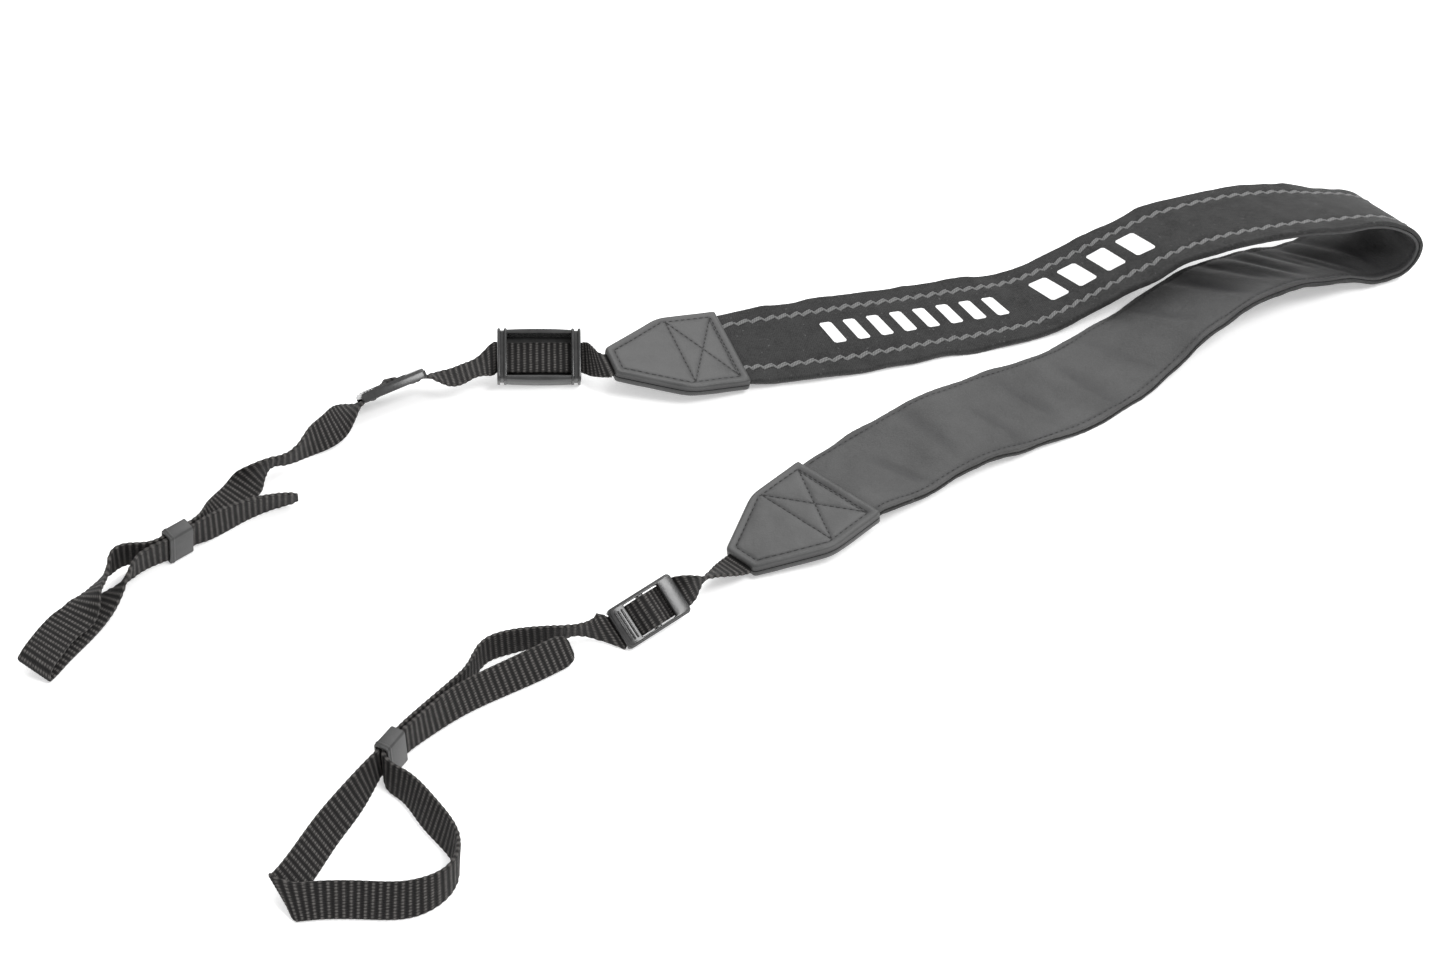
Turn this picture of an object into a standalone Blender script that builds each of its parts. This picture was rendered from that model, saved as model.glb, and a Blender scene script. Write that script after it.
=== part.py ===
"""Neck strap for a camera, lying loosely on a table.

A wide two-layer neck band runs away from the viewer, turns over at its far end and comes back.
A stitched tab closes each end of the band, and narrow webbing leaves each tab. The far webbing
carries an eyepiece cover, a slide buckle and a keeper loop; the near webbing carries a slide
buckle and a keeper loop. Each webbing ends in a loop that is closed by the keeper, with a
short free tail.

Lengths below are in millimetres and angles in degrees; the meshes are written in metres.
Every flat strip is lofted along a smooth path. A path is a list of knots: a point on the
strip's middle line, and the direction across the strip at that point.
"""
import math

import bmesh
import bpy
import numpy as np

MM = 0.001

# ---------------------------------------------------------------- driving sizes
BAND_WIDTH = 37.5
BACKING_WIDTH = 36.6
FACE_THICKNESS = 1.5
BACKING_THICKNESS = 1.1
PRESSED_FACE_THICKNESS = 0.9
PRESSED_BACKING_THICKNESS = 0.75
LAYER_GAP = 0.3
BAND_INSERT = 21.0
SWELL_LENGTH = 5.0

TAB_WIDTH = 39.5
TAB_LENGTH = 46.5
TAB_STRAIGHT_SIDE = 22.5
TAB_TIP_WIDTH = 13.4
LEAF_TOP = 2.5
LEAF_POCKET = 1.25
LEAF_RIM = 0.35
LEAF_RIM_SLOPE = 0.5
LEAF_EDGE_ROUND = 0.45
# The corners of a leaf are cut back a little: this far along it, and this far off each side.
LEAF_CORNER_LENGTH = 1.5
LEAF_CORNER_CUT = 0.35
LEAF_TIP_LENGTH = 1.2
LEAF_TIP_CUT = 0.3
LEAF_MIDDLE_STATION = 34.5

WEBBING_WIDTH = 11.2
WEBBING_THICKNESS = 1.35

SLIDER_LENGTH = 24.6
SLIDER_WIDTH = 14.6
SLIDER_DEPTH = 3.5
SLIDER_WINDOW = 13.4
SLIDER_RAIL = 1.3
SLIDER_BAR_HALF = 1.2
SLIDER_EDGE_ROUND = 0.38
WEAVE_BACK = -1.35
WEAVE_HUMP = 1.95
WEAVE_OUT = -1.6
END_BAR_BACK = -0.3
CENTRE_BAR_FRONT = 0.9

KEEPER_LENGTH = 9.0
KEEPER_WALL = 0.85
KEEPER_EDGE_ROUND = 0.35
STRAND_OFFSET = 0.85
STRAND_CLEARANCE = 0.28

COVER_LENGTH = 29.7
COVER_WIDTH = 19.8
COVER_BAR_WIDTH = 18.6
COVER_FLANGE = 3.4
COVER_WINDOW_WIDTH = 15.6
COVER_FRONT = 5.0
COVER_BAR_FRONT = 4.2
COVER_BACK = 2.8
COVER_SLOT_HALF = 1.5
COVER_SLOT_WIDTH = 12.2
COVER_EDGE_ROUND = 0.28

# Longest step along a strip, and largest turn between two sections of a strip.
BAND_STEP = 8.0
WEBBING_STEP = 4.0
TURN_STEP = 18.0
TWIST_SHARE = 0.6
STRIP_EDGE_ROUND = 0.3
# A rib that crosses the strip at a slant, as in a crease, is longer by at most 1 / this.
WIDEST_SLANT = 0.85

# The shift that puts the bottom centre of the whole strap at the origin.
SHIFT = (-19.328, 20.922, 0.03)

# ---------------------------------------------------------------- where the rigid pieces lie
# x, y, z: centre of the piece; of a tab, the middle of its edge on the band.
# heading, pitch: the direction from the band towards the loop. roll: turn about that direction.
# front: +1 when the side that is seen faces along the normal, -1 when it faces the other way.
PIECE_PLACES = {
    # name           x       y      z    heading  pitch   roll  front
    "far_tab":      (3.5,   64.5,   5.6, 200.0,    7.5,  177.0,  -1),
    "near_tab":     (39.4, -12.5,   7.2, 223.5,   -4.0,  184.0,  -1),
    "cover":        (-65.4, 56.4,   8.6, 184.0,    3.5,  147.0,  -1),
    "slider_far":   (-116.7, 41.5,  7.9, 207.0,   -7.0,  220.0,  -1),
    "slider_near":  (-23.6, -70.2,  7.3, 216.5,   -7.7,  -37.3,   1),
    "keeper_far":   (-179.7, -37.4, 7.2, 223.0,    0.0,   78.0,  -1),
    "keeper_near":  (-100.5, -130.5, 6.9, 240.0,   0.0,  270.0,   1),
}

# ---------------------------------------------------------------- paths of the strips
# Free knots: x, y, z, azimuth and tilt of the direction across the strip.
BAND_FAR_RUN = [
    # x      y      z     azimuth tilt
    (26.0,  69.0,   5.5, 109, 7),
    (50.0,  75.4,   4.8, 108, 9),
    (74.0,  82.8,   3.7, 108, 6),
    (98.0,  89.8,   3.0, 108, 4),
    (112.0, 94.6,   3.2, 109, 2),
    (130.0, 101.6,  7.8, 107, 0),
    (153.0, 109.0, 17.4, 106, -1),
    (176.0, 115.6, 23.4, 104, -3),
    (203.0, 120.4, 25.6, 104, -6),
]
BAND_CURL = [
    # x      y      z     azimuth tilt
    (222.0, 124.0, 24.4, 104, -11),
    (238.0, 127.5, 21.9, 105, -15),
    (248.0, 130.0, 16.8, 108, -16),
    (251.8, 130.6, 10.8, 112, -13),
    (248.6, 129.2,  4.9, 116, -7),
    (239.0, 125.8,  2.9, 120, -2),
]
BAND_NEAR_RUN = [
    # x      y      z     azimuth tilt
    (219.0, 114.6,  6.0, 123, -12),
    (198.0, 103.4, 11.4, 124, -14),
    (177.0, 89.5,  11.8, 125, -12),
    (158.0, 74.5,   7.8, 126, -8),
    (139.0, 58.7,   3.8, 128, 3),
    (120.0, 43.2,   4.0, 127, 7),
    (99.0,  29.6,   6.6, 125, 10),
    (78.0,  16.4,   9.2, 127, 4),
    (58.0,   2.4,   6.9, 131, 4),
]

FAR_COVER_RUN = [
    # x      y      z     azimuth tilt
    (-46.2,  53.6,  9.6, 100, 24),
]
FAR_SLIDER_RUN = [
    # x      y      z     azimuth tilt
    (-85.0,  52.6,  8.5, 100, 0),
    (-90.0,  49.6,  8.0, 103, -10),
    (-96.5,  46.1,  7.8, 105, -9),
]
FAR_TWIST_RUN = [
    # x      y      z     azimuth tilt
    (-131.0, 29.6,  5.6, 120, -10),
    (-135.8, 20.0,  6.4, 127, 42),
    (-141.0, 13.2,  7.0, 150, 80),
    (-144.8,  8.2,  6.6, -78, 70),
    (-149.5,  4.5,  6.2, -71, 58),
    (-154.0,  2.6,  6.4, -71, 56),
    (-158.2, -2.2,  6.0, -125, 66),
    (-162.8, -9.4,  4.7, 155, 22),
    (-167.8, -19.6, 4.9, 151, 38),
    (-172.5, -28.6, 6.2, 152, 87),
]
FAR_LOOP_OUT = [
    # x      y      z     azimuth tilt
    (-188.2, -42.8, 7.4, -46, 77),
    (-195.3, -44.8, 8.3, -48, 79),
    (-199.2, -48.2, 8.1, -60, 77),
    (-201.2, -53.5, 6.5, -47, 52),
    (-203.6, -62.2, 7.4, -34, 34),
    (-206.4, -70.4, 6.0, -15, -22),
    (-210.2, -76.6, 6.3, -19, -24),
    (-213.8, -86.2, 7.0, -20, -28),
]
FAR_BIGHT = [
    # x      y      z     azimuth tilt
    (-215.6, -92.0, 6.8, -21, -30),
    (-216.3, -93.4, 4.7, -21, -30),
    (-215.4, -91.5, 3.2, -22, -27),
]
FAR_LOOP_BACK = [
    # x      y      z     azimuth tilt
    (-212.3, -85.2, 3.0, -24, -22),
    (-206.3, -73.6, 2.5, -25, -16),
    (-199.6, -62.0, 3.3, -36, 14),
    (-193.9, -53.2, 6.0, -52, 58),
    (-189.5, -46.6, 7.1, -68, 74),
]
FAR_TAIL = [
    # x      y      z     azimuth tilt
    (-170.4, -30.8, 7.2, -30, 86),
    (-160.9, -22.2, 6.3, -62, 79),
    (-151.6, -16.5, 5.6, -68, 67),
    (-143.0, -13.8, 5.3, -74, 57),
]

NEAR_TWIST_RUN = [
    # x      y      z     azimuth tilt
    (-2.2,  -51.8,  6.6, 107, -34),
    (-5.8,  -55.0,  7.0,  98, -48),
    (-8.8,  -57.9,  7.5,  70, -68),
    (-11.4, -60.0,  7.6, -10, -66),
    (-14.0, -61.4,  7.1, -40, -47),
]
NEAR_CURL_RUN = [
    # x      y      z     azimuth tilt
    (-36.8, -77.3,  6.0, -33, -56),
    (-39.9, -77.4,  6.2,  25, -76),
    (-45.8, -77.6,  6.3,  95, -62),
    (-55.4, -79.7,  6.1,  97, -74),
    (-63.2, -81.6,  6.2,  88, -83),
    (-69.2, -83.4,  6.1,  90, -87),
    (-74.2, -86.1,  6.1,  90, -86),
    (-77.2, -90.5,  6.0,  95, -84),
    (-79.8, -97.2,  5.9, 131, -83),
    (-84.6, -104.7, 5.9, 146, -84),
    (-91.8, -114.6, 5.9, 151, -88),
]
NEAR_LOOP_LEFT = [
    # x      y      z     azimuth tilt
    (-110.6, -149.0, 6.8, -20, -63),
    (-116.9, -160.0, 5.5, -27, -54),
    (-122.5, -172.6, 5.0, -28, -48),
    (-126.2, -179.6, 4.7, -34, -46),
]
NEAR_LOOP_FRONT = [
    # x      y      z     azimuth tilt
    (-127.4, -182.2, 4.7, -42, -43),
    (-126.3, -184.6, 4.6, -56, -42),
    (-122.6, -185.9, 4.6, -70, -42),
    (-116.6, -185.4, 4.6, -82, -43),
    (-104.0, -185.2, 4.5, -91, -44),
    (-92.4, -185.6,  4.9, -93, -52),
    (-84.6, -183.6,  5.6, -93, -68),
    (-79.2, -179.0,  6.0, -99, -80),
]
NEAR_LOOP_RIGHT = [
    # x      y      z     azimuth tilt
    (-77.2, -171.4,  6.1, -122, -80),
    (-80.3, -162.9,  5.9, -138, -70),
    (-87.4, -153.2,  5.9, -135, -63),
    (-95.0, -143.4,  5.9, -131, -73),
    (-100.9, -138.2, 5.9, -114, -80),
]
NEAR_TAIL = [
    # x      y      z     azimuth tilt
    (-91.9, -119.2, 6.3, -28, -86),
    (-82.4, -109.1, 6.2, -37, -73),
    (-70.0, -99.5,  5.6, -45, -65),
    (-59.5, -92.8,  5.7, -46, -60),
    (-48.0, -84.6,  5.6, -44, -62),
]

# Knots inside a rigid piece: distance along it, and offset along the seen side's normal.
TAB_BAND_KNOTS = [
    # along  offset
    (21.0, 0.0),
    (10.0, 0.0),
    (-1.4, 0.0),
]
NEAR_TAB_BAND_KNOTS = [
    # along  offset
    (21.0, 0.0),
    (10.0, 0.0),
    (0.0,  0.0),
    (-3.0, 0.0),
]
TAB_WEBBING_KNOTS = [
    # along  offset
    (36.0, 0.0),
    (42.0, 0.0),
    (46.6, 0.0),
    (48.0, 0.0),
]
COVER_KNOTS = [
    # along  offset
    (-15.4, 0.0),
    (-13.0, 0.0),
    (0.0,   0.0),
    (13.0,  0.0),
    (15.2,  0.0),
]
SLIDER_KNOTS = [
    # along  offset
    (-9.5,  WEAVE_BACK),
    (-6.8,  WEAVE_BACK),
    (-1.3,  WEAVE_HUMP),
    (1.3,   WEAVE_HUMP),
    (6.8,   WEAVE_BACK),
    (9.5,   WEAVE_BACK),
    (12.5,  WEAVE_OUT),
]
FAR_SLIDER_ENTRY = [
    # along  offset
    (-12.4, WEAVE_OUT),
]
KEEPER_KNOTS = [
    # along  offset
    (-6.2, 1.0),
    (-2.0, 1.0),
    (2.0,  1.0),
    (4.4,  1.0),
]

# The tail of each webbing is rounded over this length, down to this share of the width.
TAIL_ROUND = 5.0
TAIL_END_SHARE = 0.45

# ---------------------------------------------------------------- mesh settings
SHARP_STRIP_EDGE = 40.0
SHARP_LEAF_EDGE = 25.0
SHARP_BLOCK_EDGE = 30.0
BEVEL_ANGLE = 40.0
FLAT_ANGLE = 1.0


# ---------------------------------------------------------------- small vector helpers
def unit(vector):
    return vector / np.linalg.norm(vector)


def direction(azimuth, tilt):
    a = math.radians(azimuth)
    t = math.radians(tilt)
    return np.array((math.cos(a) * math.cos(t), math.sin(a) * math.cos(t), math.sin(t)))


class Place:
    """The frame of a rigid piece: centre, along, across and normal."""

    def __init__(self, row):
        x, y, z, heading, pitch, roll, front = row
        self.centre = np.array((x, y, z))
        self.front = front
        self.along = direction(heading, pitch)
        left = direction(heading + 90.0, 0.0)
        upward = np.cross(self.along, left)
        r = math.radians(roll)
        self.across = math.cos(r) * left + math.sin(r) * upward
        self.normal = np.cross(self.along, self.across)

    def point(self, u, v, w):
        return self.centre + u * self.along + v * self.across + w * self.normal


PLACES = {name: Place(row) for name, row in PIECE_PLACES.items()}


# ---------------------------------------------------------------- paths
def free(rows):
    """Knots from a table of points and across directions."""
    return [(np.array((x, y, z)), direction(azimuth, tilt)) for x, y, z, azimuth, tilt in rows]


def guided(name, rows, side=None, backwards=False):
    """Knots that a rigid piece holds, in its own frame."""
    place = PLACES[name]
    side = place.front if side is None else side
    ordered = rows[::-1] if backwards else rows
    return [(place.point(u, 0.0, w * side), place.across) for u, w in ordered]


def spline(parameters, values):
    """Second derivatives of a natural cubic spline, one column per coordinate."""
    count = len(parameters)
    gaps = np.diff(parameters)[:, None]
    slopes = np.diff(values, axis=0) / gaps
    matrix = np.zeros((count, count))
    right = np.zeros_like(values)
    matrix[0, 0] = 1.0
    matrix[-1, -1] = 1.0
    for i in range(1, count - 1):
        matrix[i, i - 1] = gaps[i - 1, 0]
        matrix[i, i] = 2.0 * (gaps[i - 1, 0] + gaps[i, 0])
        matrix[i, i + 1] = gaps[i, 0]
        right[i] = 6.0 * (slopes[i] - slopes[i - 1])
    return np.linalg.solve(matrix, right)


def spline_at(parameters, values, bends, where):
    index = np.clip(np.searchsorted(parameters, where) - 1, 0, len(parameters) - 2)
    low = parameters[index][:, None]
    high = parameters[index + 1][:, None]
    gap = high - low
    a = (high - where[:, None]) / gap
    b = 1.0 - a
    bend = (a ** 3 - a) * bends[index] + (b ** 3 - b) * bends[index + 1]
    return a * values[index] + b * values[index + 1] + bend * gap ** 2 / 6.0


class Path:
    """A smooth path through knots, sampled finely by length.

    squareness 1 turns every across direction square to the path; 0 keeps it as the knots say,
    which is what a slanting crease needs.
    """

    SAMPLE = 0.25
    CURVE_SAMPLES = 6000

    def __init__(self, knots, squareness):
        points = np.array([knot[0] for knot in knots])
        across = np.array([knot[1] for knot in knots])
        gaps = np.linalg.norm(np.diff(points, axis=0), axis=1)
        parameters = np.concatenate([[0.0], np.cumsum(np.sqrt(gaps))])
        fine = np.linspace(0.0, parameters[-1], self.CURVE_SAMPLES)
        curve = spline_at(parameters, points, spline(parameters, points), fine)
        sides = spline_at(parameters, across, spline(parameters, across), fine)
        length = np.concatenate([[0.0], np.cumsum(np.linalg.norm(np.diff(curve, axis=0), axis=1))])
        self.length = float(length[-1])
        count = int(self.length / self.SAMPLE) + 1
        self.s = np.linspace(0.0, self.length, count)
        self.points = np.stack([np.interp(self.s, length, curve[:, k]) for k in range(3)], axis=1)
        sides = np.stack([np.interp(self.s, length, sides[:, k]) for k in range(3)], axis=1)
        tangent = np.gradient(self.points, axis=0)
        self.tangent = tangent / np.linalg.norm(tangent, axis=1)[:, None]
        sides /= np.linalg.norm(sides, axis=1)[:, None]
        sides -= squareness * np.sum(sides * self.tangent, axis=1)[:, None] * self.tangent
        self.across = sides / np.linalg.norm(sides, axis=1)[:, None]
        normal = np.cross(self.tangent, self.across)
        slant = np.linalg.norm(normal, axis=1)
        self.normal = normal / slant[:, None]
        self.widening = 1.0 / np.maximum(slant, WIDEST_SLANT)

    def stations(self, longest, turn):
        """Indices of the samples where a section is laid, closer together in the bends."""
        chosen = [0]
        used = 0.0
        for i in range(1, len(self.s)):
            dot_t = min(1.0, float(np.dot(self.tangent[i], self.tangent[i - 1])))
            dot_a = min(1.0, float(np.dot(self.across[i], self.across[i - 1])))
            angle = math.degrees(math.acos(dot_t) + TWIST_SHARE * math.acos(dot_a))
            used += self.SAMPLE / longest + angle / turn
            if used >= 1.0:
                chosen.append(i)
                used = 0.0
        if chosen[-1] != len(self.s) - 1:
            chosen.append(len(self.s) - 1)
        return chosen


# ---------------------------------------------------------------- meshes
def finish(name, bm, material, smooth_angle, bevel=0.0):
    """Turn a bmesh in millimetres into a named object in metres."""
    bmesh.ops.recalc_face_normals(bm, faces=bm.faces[:])
    bmesh.ops.translate(bm, verts=bm.verts[:], vec=SHIFT)
    bmesh.ops.scale(bm, verts=bm.verts[:], vec=(MM, MM, MM))
    mesh = bpy.data.meshes.new(name)
    bm.to_mesh(mesh)
    bm.free()
    obj = bpy.data.objects.new(name, mesh)
    bpy.context.scene.collection.objects.link(obj)
    mesh.materials.append(material)
    if bevel > 0.0:
        modifier = obj.modifiers.new("edge round", "BEVEL")
        modifier.width = bevel * MM
        modifier.segments = 1
        modifier.limit_method = "ANGLE"
        modifier.angle_limit = math.radians(BEVEL_ANGLE)
        modifier.harden_normals = False
    for polygon in mesh.polygons:
        polygon.use_smooth = True
    mesh.set_sharp_from_angle(angle=math.radians(smooth_angle))
    return obj


def loft(name, sections, material, smooth_angle):
    """A closed solid through equal-sized rings of points.

    The rings start on the negative side. Every quad is cut along the diagonal that leads from
    the negative side of one section to the positive side of the next, so that two strips that
    follow the same path stay clear of each other.
    """
    bm = bmesh.new()
    rings = [[bm.verts.new(tuple(point)) for point in section] for section in sections]
    size = len(rings[0])
    for before, after in zip(rings[:-1], rings[1:]):
        for k in range(size):
            n = (k + 1) % size
            if k < size // 2:
                bm.faces.new((before[k], before[n], after[n]))
                bm.faces.new((before[k], after[n], after[k]))
            else:
                bm.faces.new((before[k], before[n], after[k]))
                bm.faces.new((before[n], after[n], after[k]))
    bm.faces.new(rings[0][::-1])
    bm.faces.new(rings[-1])
    return finish(name, bm, material, smooth_angle)


def strip(name, path, half_width, low, high, longest, material):
    """A flat strip along a path. half_width, low and high are functions of the length s."""
    sections = []
    for i in path.stations(longest, TURN_STEP):
        s = path.s[i]
        h = half_width(s) * path.widening[i]
        lo = low(s)
        hi = high(s)
        e = min(STRIP_EDGE_ROUND, (hi - lo) / 3.0)
        ring = [(-h, lo + e), (-h + e, lo), (h - e, lo), (h, lo + e),
                (h, hi - e), (h - e, hi), (-h + e, hi), (-h, hi - e)]
        sections.append([path.points[i] + v * path.across[i] + w * path.normal[i] for v, w in ring])
    return loft(name, sections, material, SHARP_STRIP_EDGE)


def blocks(name, place, us, vs, ws, solid, material, bevel):
    """A rigid piece made of the filled cells of a small grid in its own frame.

    solid(u, v, w) tells whether the cell with that middle is filled. w counts along the seen
    side's normal.
    """
    middle = [[(low + high) / 2.0 for low, high in zip(cuts[:-1], cuts[1:])] for cuts in (us, vs, ws)]
    sizes = [len(values) for values in middle]

    def filled(i, j, k):
        inside = 0 <= i < sizes[0] and 0 <= j < sizes[1] and 0 <= k < sizes[2]
        return inside and solid(middle[0][i], middle[1][j], middle[2][k])

    bm = bmesh.new()
    made = {}

    def corner(i, j, k):
        if (i, j, k) not in made:
            made[(i, j, k)] = bm.verts.new(tuple(place.point(us[i], vs[j], ws[k] * place.front)))
        return made[(i, j, k)]

    for i in range(sizes[0]):
        for j in range(sizes[1]):
            for k in range(sizes[2]):
                if not filled(i, j, k):
                    continue
                for step in (0, 1):
                    side = 2 * step - 1
                    if not filled(i + side, j, k):
                        a = i + step
                        bm.faces.new((corner(a, j, k), corner(a, j + 1, k),
                                      corner(a, j + 1, k + 1), corner(a, j, k + 1)))
                    if not filled(i, j + side, k):
                        b = j + step
                        bm.faces.new((corner(i, b, k), corner(i + 1, b, k),
                                      corner(i + 1, b, k + 1), corner(i, b, k + 1)))
                    if not filled(i, j, k + side):
                        c = k + step
                        bm.faces.new((corner(i, j, c), corner(i + 1, j, c),
                                      corner(i + 1, j + 1, c), corner(i, j + 1, c)))
    flat = math.radians(FLAT_ANGLE)
    bmesh.ops.dissolve_limit(bm, angle_limit=flat, verts=bm.verts[:], edges=bm.edges[:])
    return finish(name, bm, material, SHARP_BLOCK_EDGE, bevel)


def material(name, colour, roughness):
    mat = bpy.data.materials.new(name)
    mat.use_nodes = True
    shader = mat.node_tree.nodes["Principled BSDF"]
    shader.inputs["Base Color"].default_value = (*colour, 1.0)
    shader.inputs["Roughness"].default_value = roughness
    mat.diffuse_color = (*colour, 1.0)
    return mat


# ---------------------------------------------------------------- the pieces
def band_layers(mats):
    knots = guided("far_tab", TAB_BAND_KNOTS)
    knots += free(BAND_FAR_RUN) + free(BAND_CURL) + free(BAND_NEAR_RUN)
    knots += guided("near_tab", NEAR_TAB_BAND_KNOTS, backwards=True)
    path = Path(knots, 1.0)

    def swell(s, pressed, full):
        """Thin where a tab presses the band, full outside it."""
        inside = min(s, path.length - s) - BAND_INSERT
        return pressed + (full - pressed) * min(1.0, max(0.0, inside / SWELL_LENGTH))

    gap = LAYER_GAP / 2.0
    strip("neck_band_face", path, lambda s: BAND_WIDTH / 2.0, lambda s: gap,
          lambda s: gap + swell(s, PRESSED_FACE_THICKNESS, FACE_THICKNESS), BAND_STEP, mats["face"])
    strip("neck_band_backing", path, lambda s: BACKING_WIDTH / 2.0,
          lambda s: -gap - swell(s, PRESSED_BACKING_THICKNESS, BACKING_THICKNESS),
          lambda s: -gap, BAND_STEP, mats["backing"])


def tab_leaf(name, place, side, mat):
    """One leather leaf of a tab: a six-sided plate with a shallow pocket on its inner side."""
    slope = (TAB_WIDTH - TAB_TIP_WIDTH) / 2.0 / (TAB_LENGTH - TAB_STRAIGHT_SIDE)

    def half_width(u):
        return TAB_WIDTH / 2.0 - slope * max(0.0, u - TAB_STRAIGHT_SIDE)

    ends = LEAF_EDGE_ROUND
    gap = LAYER_GAP / 2.0
    # Along the leaf, the cut off each side there, and whether the section is an end face.
    rows = [
        (0.0, 0.0, True),
        (ends, 0.0, False),
        (TAB_STRAIGHT_SIDE / 2.0, 0.0, False),
        (TAB_STRAIGHT_SIDE - LEAF_CORNER_LENGTH, 0.0, False),
        (TAB_STRAIGHT_SIDE, LEAF_CORNER_CUT, False),
        (TAB_STRAIGHT_SIDE + LEAF_CORNER_LENGTH, 0.0, False),
        (LEAF_MIDDLE_STATION, 0.0, False),
        (TAB_LENGTH - LEAF_TIP_LENGTH, 0.0, False),
        (TAB_LENGTH - ends, LEAF_TIP_CUT, False),
        (TAB_LENGTH, LEAF_TIP_CUT, True),
    ]
    sections = []
    for u, cut, at_end in rows:
        h = half_width(u) - cut
        top = LEAF_TOP - (ends if at_end else 0.0)
        inner = h - LEAF_RIM
        pocket = inner - LEAF_RIM_SLOPE
        ring = [(-h, gap), (-inner, gap), (-pocket, LEAF_POCKET), (pocket, LEAF_POCKET),
                (inner, gap), (h, gap), (h, top - ends), (h - ends, top),
                (-h + ends, top), (-h, top - ends)]
        sections.append([place.point(u, v, side * w) for v, w in ring])
    return loft(name, sections, mat, SHARP_LEAF_EDGE)


def webbing(name, knots, mat):
    path = Path(knots, 0.0)

    def half_width(s):
        left = path.length - s
        if left >= TAIL_ROUND:
            return WEBBING_WIDTH / 2.0
        t = 1.0 - left / TAIL_ROUND
        curve = math.sqrt(max(0.0, 1.0 - t * t))
        return WEBBING_WIDTH / 2.0 * (TAIL_END_SHARE + (1.0 - TAIL_END_SHARE) * curve)

    half = WEBBING_THICKNESS / 2.0
    strip(name, path, half_width, lambda s: -half, lambda s: half, WEBBING_STEP, mat)


def far_webbing(mat):
    knots = guided("far_tab", TAB_WEBBING_KNOTS) + free(FAR_COVER_RUN)
    knots += guided("cover", COVER_KNOTS) + free(FAR_SLIDER_RUN)
    knots += guided("slider_far", FAR_SLIDER_ENTRY + SLIDER_KNOTS) + free(FAR_TWIST_RUN)
    inward = [(u, w * STRAND_OFFSET) for u, w in KEEPER_KNOTS]
    knots += guided("keeper_far", inward, side=1)
    knots += free(FAR_LOOP_OUT) + free(FAR_BIGHT) + free(FAR_LOOP_BACK)
    knots += guided("keeper_far", inward, side=-1, backwards=True) + free(FAR_TAIL)
    webbing("far_webbing", knots, mat)


def near_webbing(mat):
    knots = guided("near_tab", TAB_WEBBING_KNOTS) + free(NEAR_TWIST_RUN)
    knots += guided("slider_near", SLIDER_KNOTS) + free(NEAR_CURL_RUN)
    inward = [(u, w * STRAND_OFFSET) for u, w in KEEPER_KNOTS]
    knots += guided("keeper_near", inward, side=-1)
    knots += free(NEAR_LOOP_LEFT) + free(NEAR_LOOP_FRONT) + free(NEAR_LOOP_RIGHT)
    knots += guided("keeper_near", inward, side=1, backwards=True) + free(NEAR_TAIL)
    webbing("near_webbing", knots, mat)


def slider(name, place, mat):
    """Slide buckle: two rails, two end bars at the front and a centre bar at the back."""
    half_l = SLIDER_LENGTH / 2.0
    half_w = SLIDER_WIDTH / 2.0
    half_d = SLIDER_DEPTH / 2.0
    window = SLIDER_WINDOW / 2.0
    bar = SLIDER_BAR_HALF
    us = [-half_l, -window, -bar, bar, window, half_l]
    vs = [-half_w, -half_w + SLIDER_RAIL, half_w - SLIDER_RAIL, half_w]
    ws = [-half_d, END_BAR_BACK, CENTRE_BAR_FRONT, half_d]

    def solid(u, v, w):
        rail = abs(v) > half_w - SLIDER_RAIL
        end_bar = abs(u) > window and w > END_BAR_BACK
        centre_bar = abs(u) < bar and w < CENTRE_BAR_FRONT
        return rail or end_bar or centre_bar

    return blocks(name, place, us, vs, ws, solid, mat, SLIDER_EDGE_ROUND)


def keeper(name, place, mat):
    """Keeper loop: a short rectangular tube around two layers of webbing."""
    inner_v = WEBBING_WIDTH / 2.0 + STRAND_CLEARANCE
    inner_w = STRAND_OFFSET + WEBBING_THICKNESS / 2.0 + STRAND_CLEARANCE
    outer_v = inner_v + KEEPER_WALL
    outer_w = inner_w + KEEPER_WALL
    us = [-KEEPER_LENGTH / 2.0, KEEPER_LENGTH / 2.0]
    vs = [-outer_v, -inner_v, inner_v, outer_v]
    ws = [-outer_w, -inner_w, inner_w, outer_w]

    def solid(u, v, w):
        return abs(v) > inner_v or abs(w) > inner_w

    return blocks(name, place, us, vs, ws, solid, mat, KEEPER_EDGE_ROUND)


def eyepiece_cover(place, mat):
    """Open tray with a thick flange at each end; the webbing runs through a slot in each flange."""
    half_l = COVER_LENGTH / 2.0
    half_w = COVER_WIDTH / 2.0
    inner_l = half_l - COVER_FLANGE
    bar_w = COVER_BAR_WIDTH / 2.0
    window = COVER_WINDOW_WIDTH / 2.0
    slot = COVER_SLOT_WIDTH / 2.0
    us = [-half_l, -inner_l, inner_l, half_l]
    vs = [-half_w, -bar_w, -window, -slot, slot, window, bar_w, half_w]
    ws = [-COVER_BACK, -COVER_SLOT_HALF, COVER_SLOT_HALF, COVER_BAR_FRONT, COVER_FRONT]

    def solid(u, v, w):
        if abs(u) > inner_l:
            return not (abs(v) < slot and abs(w) < COVER_SLOT_HALF)
        if abs(v) > bar_w or w > COVER_BAR_FRONT:
            return False
        return abs(v) > window or w < -COVER_SLOT_HALF

    return blocks("eyepiece_cover", place, us, vs, ws, solid, mat, COVER_EDGE_ROUND)


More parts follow.
